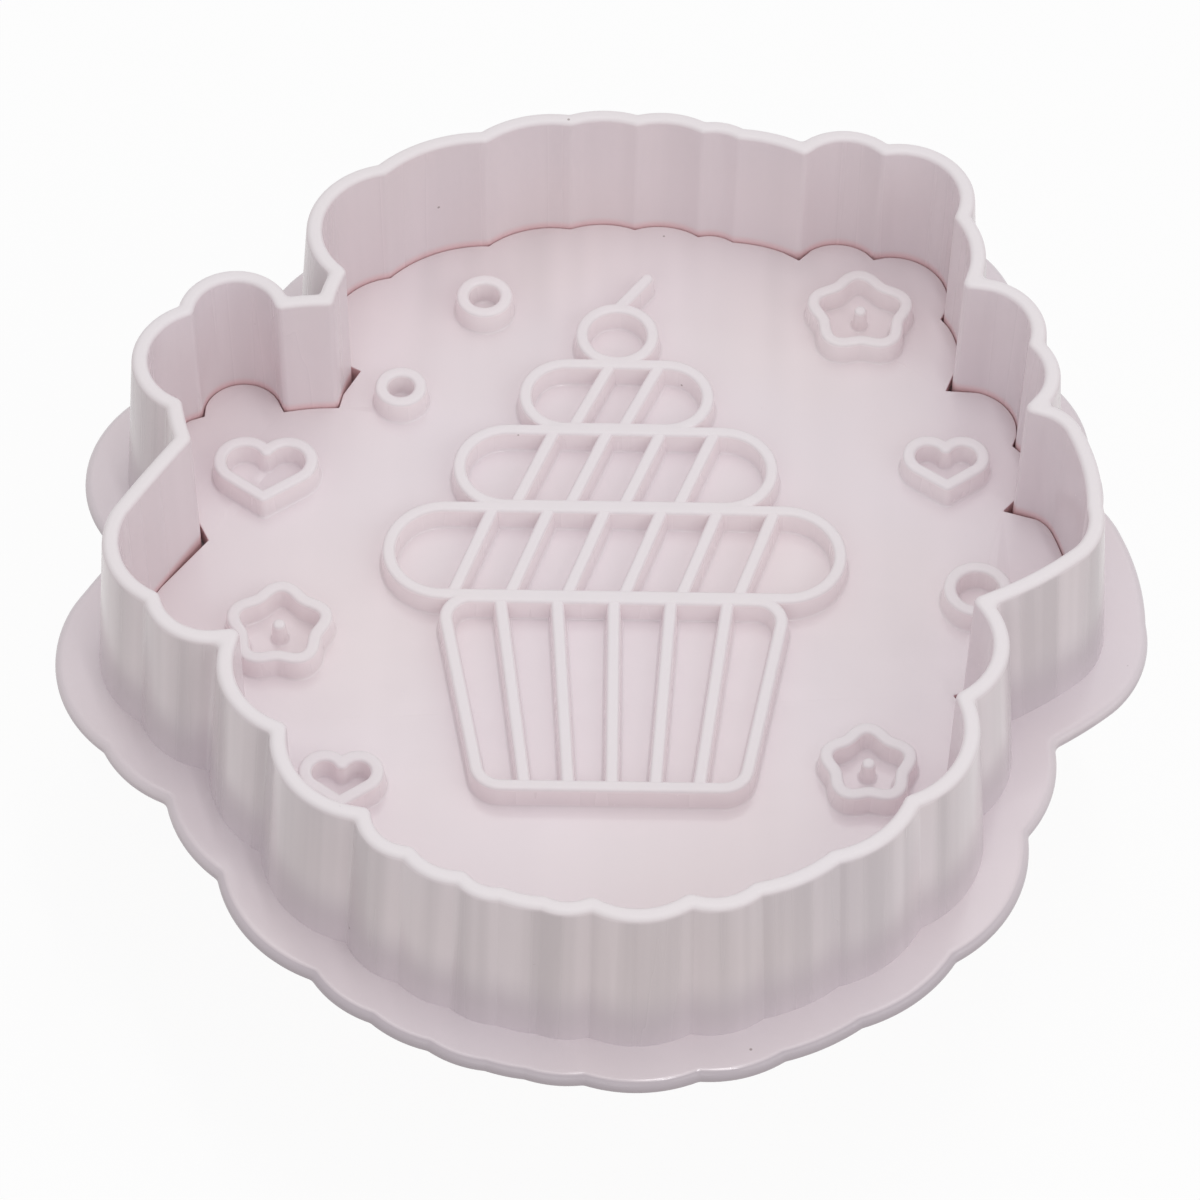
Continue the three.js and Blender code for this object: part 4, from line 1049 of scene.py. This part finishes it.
def plastic_material(
        name, effects, streak_tone, gap_shade,
        reflected_tone=0, lit_above=RIM_Z, dull_and_sheen_above=RIM_Z, drawn_place=None):
    """Satin moulded plastic: streaks on upright walls, a faint drift of tone, specks and short scratches,
    and a duller finish above a height. Painted in its colour: streaks of reflected light on level faces,
    more towards the back; a whiter painted sheen above that height; painted shade on the flange, its edge
    and the foot of the wall outside, with a painted reflection of the flange at the foot; a pinker painted
    shade and glow on upright faces inside between two heights; and lighter painted sides of raised lines,
    for light that goes through them."""
    streaks, upright_faces, marks, ripple = effects
    material, tree, shader = shaded(name)
    mix, span = partial(blended, tree), partial(ranged, tree)
    times, times_plus = partial(maths, tree, "MULTIPLY"), partial(maths, tree, "MULTIPLY_ADD")
    less, above = partial(maths, tree, "SUBTRACT"), partial(maths, tree, "GREATER_THAN")
    place = add(tree, "TexCoord").outputs["Object"]
    parted = add(tree, "SeparateXYZ", Vector=place).outputs
    height = parted["Z"]
    upright = placed(tree, upright_faces, Level_From=LEVEL_FROM)
    outside = add(tree, "Attribute", {"attribute_name": "outside"}).outputs["Fac"]
    along = place
    if drawn_place:
        along = add(tree, "Attribute", {"attribute_name": drawn_place}).outputs["Vector"]
    streak = placed(tree, streaks, Place=along, Cells_Per_Metre=STREAK_CELLS)
    fine_streak = placed(tree, streaks, Place=along, Cells_Per_Metre=FINE_STREAK_CELLS)
    drawn = times(times_plus(fine_streak, FINE_STREAK_SHARE, streak), upright)
    # painted streaks of light that the walls reflect onto level faces, more towards the back
    reflected_streak = placed(tree, streaks, Place=place, Cells_Per_Metre=REFLECTED_STREAK_CELLS)
    at_back = span(parted["Y"], REFLECTED_STREAK_FROM, REFLECTED_STREAK_TO, REFLECTED_STREAK_FRONT, 1, smooth=True)
    lying_reflection = times(reflected_streak, times(less(1, upright), at_back))
    tone = span(outside, 0, 1, streak_tone, OUTER_STREAK_TONE)
    share = times_plus(drawn, tone, times_plus(lying_reflection, reflected_tone, EVEN_TONE))
    drift = add(tree, "TexNoise", Vector=place, Scale=DRIFT_CELLS, Detail=2).outputs["Fac"]
    cool = mix(share, *[tint(PLASTIC, part) for part in PLASTIC_TONES])
    warm = mix(share, *[tint(PLASTIC_WARM, part) for part in PLASTIC_TONES])
    body = mix(span(drift, *DRIFT_RANGE, 0, 1), cool, warm)
    # painted light on the sides of raised lines, for light that goes through them
    climb = span(height, lit_above, lit_above + RELIEF_HEIGHT, *RELIEF_LIT)
    lit = mix(times(times(upright, above(height, lit_above)), climb), body, tint(PLASTIC_LIT))
    # painted shade at the foot of the wall outside, with a painted reflection of the flange, and on the
    # flange
    foot_z = FLANGE_TOP_Z + FOOT_SHADE_FROM
    foot = span(height, foot_z, FLANGE_TOP_Z + FOOT_SHADE_TO, FOOT_SHADE, 0, smooth=True)
    flange = times(maths(tree, "LESS_THAN", height, foot_z), FLANGE_SHADE)
    depth = maths(tree, "MAXIMUM", times(foot, upright), flange)
    deep = mix(times(depth, outside), lit, tint(PLASTIC_SHADE))
    # painted shade on the flange's edge, most at the front
    off_edge = maths(tree, "ABSOLUTE", less(height, FLANGE_TOP_Z - FLANGE_EDGE / 2))
    at_edge = span(off_edge, EDGE_FULL * FLANGE_EDGE, FLANGE_EDGE / 2, 1, 0, smooth=True)
    at_front = span(parted["Y"], EDGE_FRONT, EDGE_SIDE, 1, EDGE_SIDE_SHARE, smooth=True)
    edge_shaded = mix(times(times(at_edge, at_front), outside), deep, tint(PLASTIC_EDGE_SHADE))
    # pinker painted shade and glow on upright faces inside, in the gap by the plate
    glow = span(height, *gap_shade, GAP_SHADE, 0, smooth=True)
    inside = times(less(upright, outside), above(height, FLANGE_TOP_Z))
    gap_shaded = mix(times(glow, inside), edge_shaded, tint(PLASTIC_GAP_SHADE))
    # whiter painted sheen above a height, where the finish is duller too
    dull_and_sheen = span(height, dull_and_sheen_above, dull_and_sheen_above + DULL_AND_SHEEN_DEPTH, 0, 1, smooth=True)
    sheened = mix(times(dull_and_sheen, RIM_SHEEN), gap_shaded, tint(PLASTIC_SHEEN))
    scratch = placed(tree, marks, **SCRATCHES)
    scratched = mix(times(scratch, SCRATCH_TONE), sheened, tint(SCRATCH))
    specked = mix(times(placed(tree, marks, **SPECKS), SPECK_TONE), scratched, tint(SPECK))
    join(tree, specked, shader.inputs["Base Color"])
    satin = times_plus(drawn, STREAK_GLOSS, span(upright, 0, 1, PLASTIC_ROUGHNESS, DRAWN_ROUGHNESS))
    dull = times_plus(dull_and_sheen, RUBBED_ROUGHNESS - PLASTIC_ROUGHNESS, satin)
    join(tree, times_plus(scratch, SCRATCH_ROUGHNESS, dull), shader.inputs["Roughness"])
    waves = times(placed(tree, ripple, **PLASTIC_RIPPLE), span(upright, 0, 1, 1, UPRIGHT_RIPPLE))
    uneven = times_plus(drawn, STREAK_RELIEF, waves)
    bump = add(tree, "Bump", Strength=1, Distance=RIPPLE_DEPTH, Height=uneven)
    join(tree, bump.outputs["Normal"], shader.inputs["Normal"])
    return material


def metal_material(name, effects, colour, roughness, line_tone):
    """Bright metal with drawing lines or plating that varies a little in tone and gloss."""
    streaks, _, marks, ripple = effects
    material, tree, shader = shaded(name)
    times_plus = partial(maths, tree, "MULTIPLY_ADD")
    place = add(tree, "TexCoord").outputs["Object"]
    cloud = placed(tree, ripple, **METAL_RIPPLE)
    line = placed(tree, streaks, Place=place, Cells_Per_Metre=METAL_LINE_CELLS)
    share = times_plus(line, line_tone, ranged(tree, cloud, *METAL_CLOUD))
    toned = blended(tree, share, *[tint(colour, tone) for tone in METAL_TONES])
    join(tree, toned, shader.inputs["Base Color"])
    stain = placed(tree, marks, **STAINS)
    gloss = times_plus(share, METAL_GLOSS, roughness)
    join(tree, times_plus(stain, STAIN_ROUGHNESS, gloss), shader.inputs["Roughness"])
    bump = add(tree, "Bump", Strength=METAL_RIPPLE_STRENGTH, Distance=METAL_RIPPLE_DEPTH, Height=cloud)
    join(tree, bump.outputs["Normal"], shader.inputs["Normal"])
    shader.inputs["Metallic"].default_value = 1
    return material


# Stage, light and camera
def seen_ray(tree):
    """One for rays that show the background: from the camera, off gloss or through clear pieces."""
    path = add(tree, "LightPath").outputs
    glossy = maths(tree, "MAXIMUM", path["Is Camera Ray"], path["Is Glossy Ray"])
    return maths(tree, "MAXIMUM", glossy, path["Is Transmission Ray"])


def floor_material():
    """White floor with a faint shadow, which throws a plain level of light up at the object, more right
    below it, and is open from below."""
    material, tree, shader = shaded("floor_white")
    material.cycles.emission_sampling = "NONE"
    tree.nodes.remove(shader)
    white = add(tree, "Emission", Strength=1)
    shadow = add(tree, "BsdfDiffuse", Color=tint(WHITE, FLOOR_WHITE))
    shown = add(tree, "MixShader", Fac=FLOOR_SHADOW)
    place = add(tree, "TexCoord").outputs["Object"]
    off_axis = add(tree, "VectorMath", {"operation": "LENGTH"}, Vector=place).outputs["Value"]
    strength = ranged(tree, off_axis, *UNDER_REACHES, UNDER_LEVEL, FLOOR_LEVEL, smooth=True)
    glow = add(tree, "Emission", Color=tint(FLOOR_GLOW), Strength=strength)
    floor = add(tree, "MixShader", Fac=seen_ray(tree))
    open_below = add(tree, "MixShader", Fac=add(tree, "NewGeometry").outputs["Backfacing"])
    clear = add(tree, "BsdfTransparent")
    for mix, first, second in ((shown, white, shadow), (floor, glow, shown), (open_below, floor, clear)):
        tree.links.new(first.outputs[0], mix.inputs[1])
        tree.links.new(second.outputs[0], mix.inputs[2])
    tree.links.new(open_below.outputs[0], tree.nodes["Material Output"].inputs["Surface"])
    return material


def stage():
    """A level square floor, whose middle lies behind the stamp."""
    square = np.array([(-1, -1), (1, -1), (1, 1), (-1, 1)])
    corners = FLOOR_REACH * square + np.array([0, FLOOR_BACK])
    mesh = bpy.data.meshes.new("floor")
    mesh.from_pydata(lifted(corners, FLOOR_Z).tolist(), [], [(0, 1, 2, 3)])
    mesh.materials.append(floor_material())
    floor = bpy.data.objects.new("floor", mesh)
    bpy.context.scene.collection.objects.link(floor)


def lights():
    """A white surround at a plain level, and soft lamps that face the middle of the flange."""
    world = bpy.data.worlds.new("studio")
    world.use_nodes = True
    tree = world.node_tree
    shown = tree.nodes["Background"]
    shown.inputs["Color"].default_value = tint(WHITE)
    shown.inputs["Strength"].default_value = 1
    plain = add(tree, "Background", Color=tint(WHITE), Strength=WORLD_LEVEL)
    mix = add(tree, "MixShader", Fac=seen_ray(tree))
    tree.links.new(plain.outputs[0], mix.inputs[1])
    tree.links.new(shown.outputs[0], mix.inputs[2])
    tree.links.new(mix.outputs[0], tree.nodes["World Output"].inputs["Surface"])
    bpy.context.scene.world = world
    for name, place, width, length, power in LAMPS:
        lamp = bpy.data.lights.new(name, "AREA")
        lamp.shape = "ELLIPSE"
        lamp.size = width
        lamp.size_y = length
        lamp.energy = power
        made = bpy.data.objects.new(name, lamp)
        aim = Vector(place) - Vector((0, 0, FLANGE_TOP_Z))
        made.matrix_world = Matrix.Translation(place) @ aim.to_track_quat("Z", "Y").to_matrix().to_4x4()
        bpy.context.scene.collection.objects.link(made)


def camera():
    """Camera of the photograph: it looks down by the height angle at the aim, rolled about its own axis."""
    sine, cosine = np.sin(CAMERA_HEIGHT_ANGLE), np.cos(CAMERA_HEIGHT_ANGLE)
    forward = np.array([0, cosine, -sine])
    level_up = np.array([0, sine, cosine])
    level_right = np.array([1, 0, 0])
    right = np.cos(CAMERA_ROLL) * level_right + np.sin(CAMERA_ROLL) * level_up
    up = np.cos(CAMERA_ROLL) * level_up - np.sin(CAMERA_ROLL) * level_right
    place = np.eye(4)
    place[:3] = np.column_stack([right, up, -forward, CAMERA_AIM - CAMERA_DISTANCE * forward])
    data = bpy.data.cameras.new("photo_camera")
    data.sensor_width = SENSOR
    data.lens = CAMERA_FOCUS_PIXELS / FRAME_PIXELS * SENSOR
    data.clip_start = CAMERA_NEAR
    made = bpy.data.objects.new("photo_camera", data)
    made.matrix_world = Matrix(place.tolist())
    bpy.context.scene.collection.objects.link(made)
    bpy.context.scene.camera = made


effects = streaks_effect(), upright_effect(), marks_effect(), ripple_effect()
# heights of the painted shade and glow in the gap by the plate
wall_gap_shade = PLATE_TOP_Z, PLATE_TOP_Z + GAP_SHADE_REACH
plate_gap_shade = PLATE_TOP_Z - PLATE_EDGE_ROUND, PLATE_TOP_Z
cutter_plastic = plastic_material(
    "cutter_plastic", effects, STREAK_TONE, wall_gap_shade,
    dull_and_sheen_above=RIM_Z - DULL_AND_SHEEN_DEPTH, drawn_place="drawn_place")
plate_plastic = plastic_material(
    "plate_plastic", effects, RELIEF_STREAK_TONE, plate_gap_shade,
    reflected_tone=REFLECTED_STREAK_TONE, lit_above=PLATE_TOP_Z, dull_and_sheen_above=RELIEF_Z - DULL_AND_SHEEN_DEPTH)
knob_plastic = plastic_material("knob_plastic", effects, RELIEF_STREAK_TONE, plate_gap_shade)
wire = metal_material("spring_wire", effects, **WIRE)
zinc = metal_material("zinc_steel", effects, **ZINC)
cutter_shell(cutter_plastic)
stamp_plate(plate_plastic)
push_knob(knob_plastic)
knob_cap(knob_plastic)
return_spring(wire)
clamp_screw(zinc)
screw_washer(zinc)
stage()
lights()
camera()
bpy.context.scene.view_settings.view_transform = "Standard"
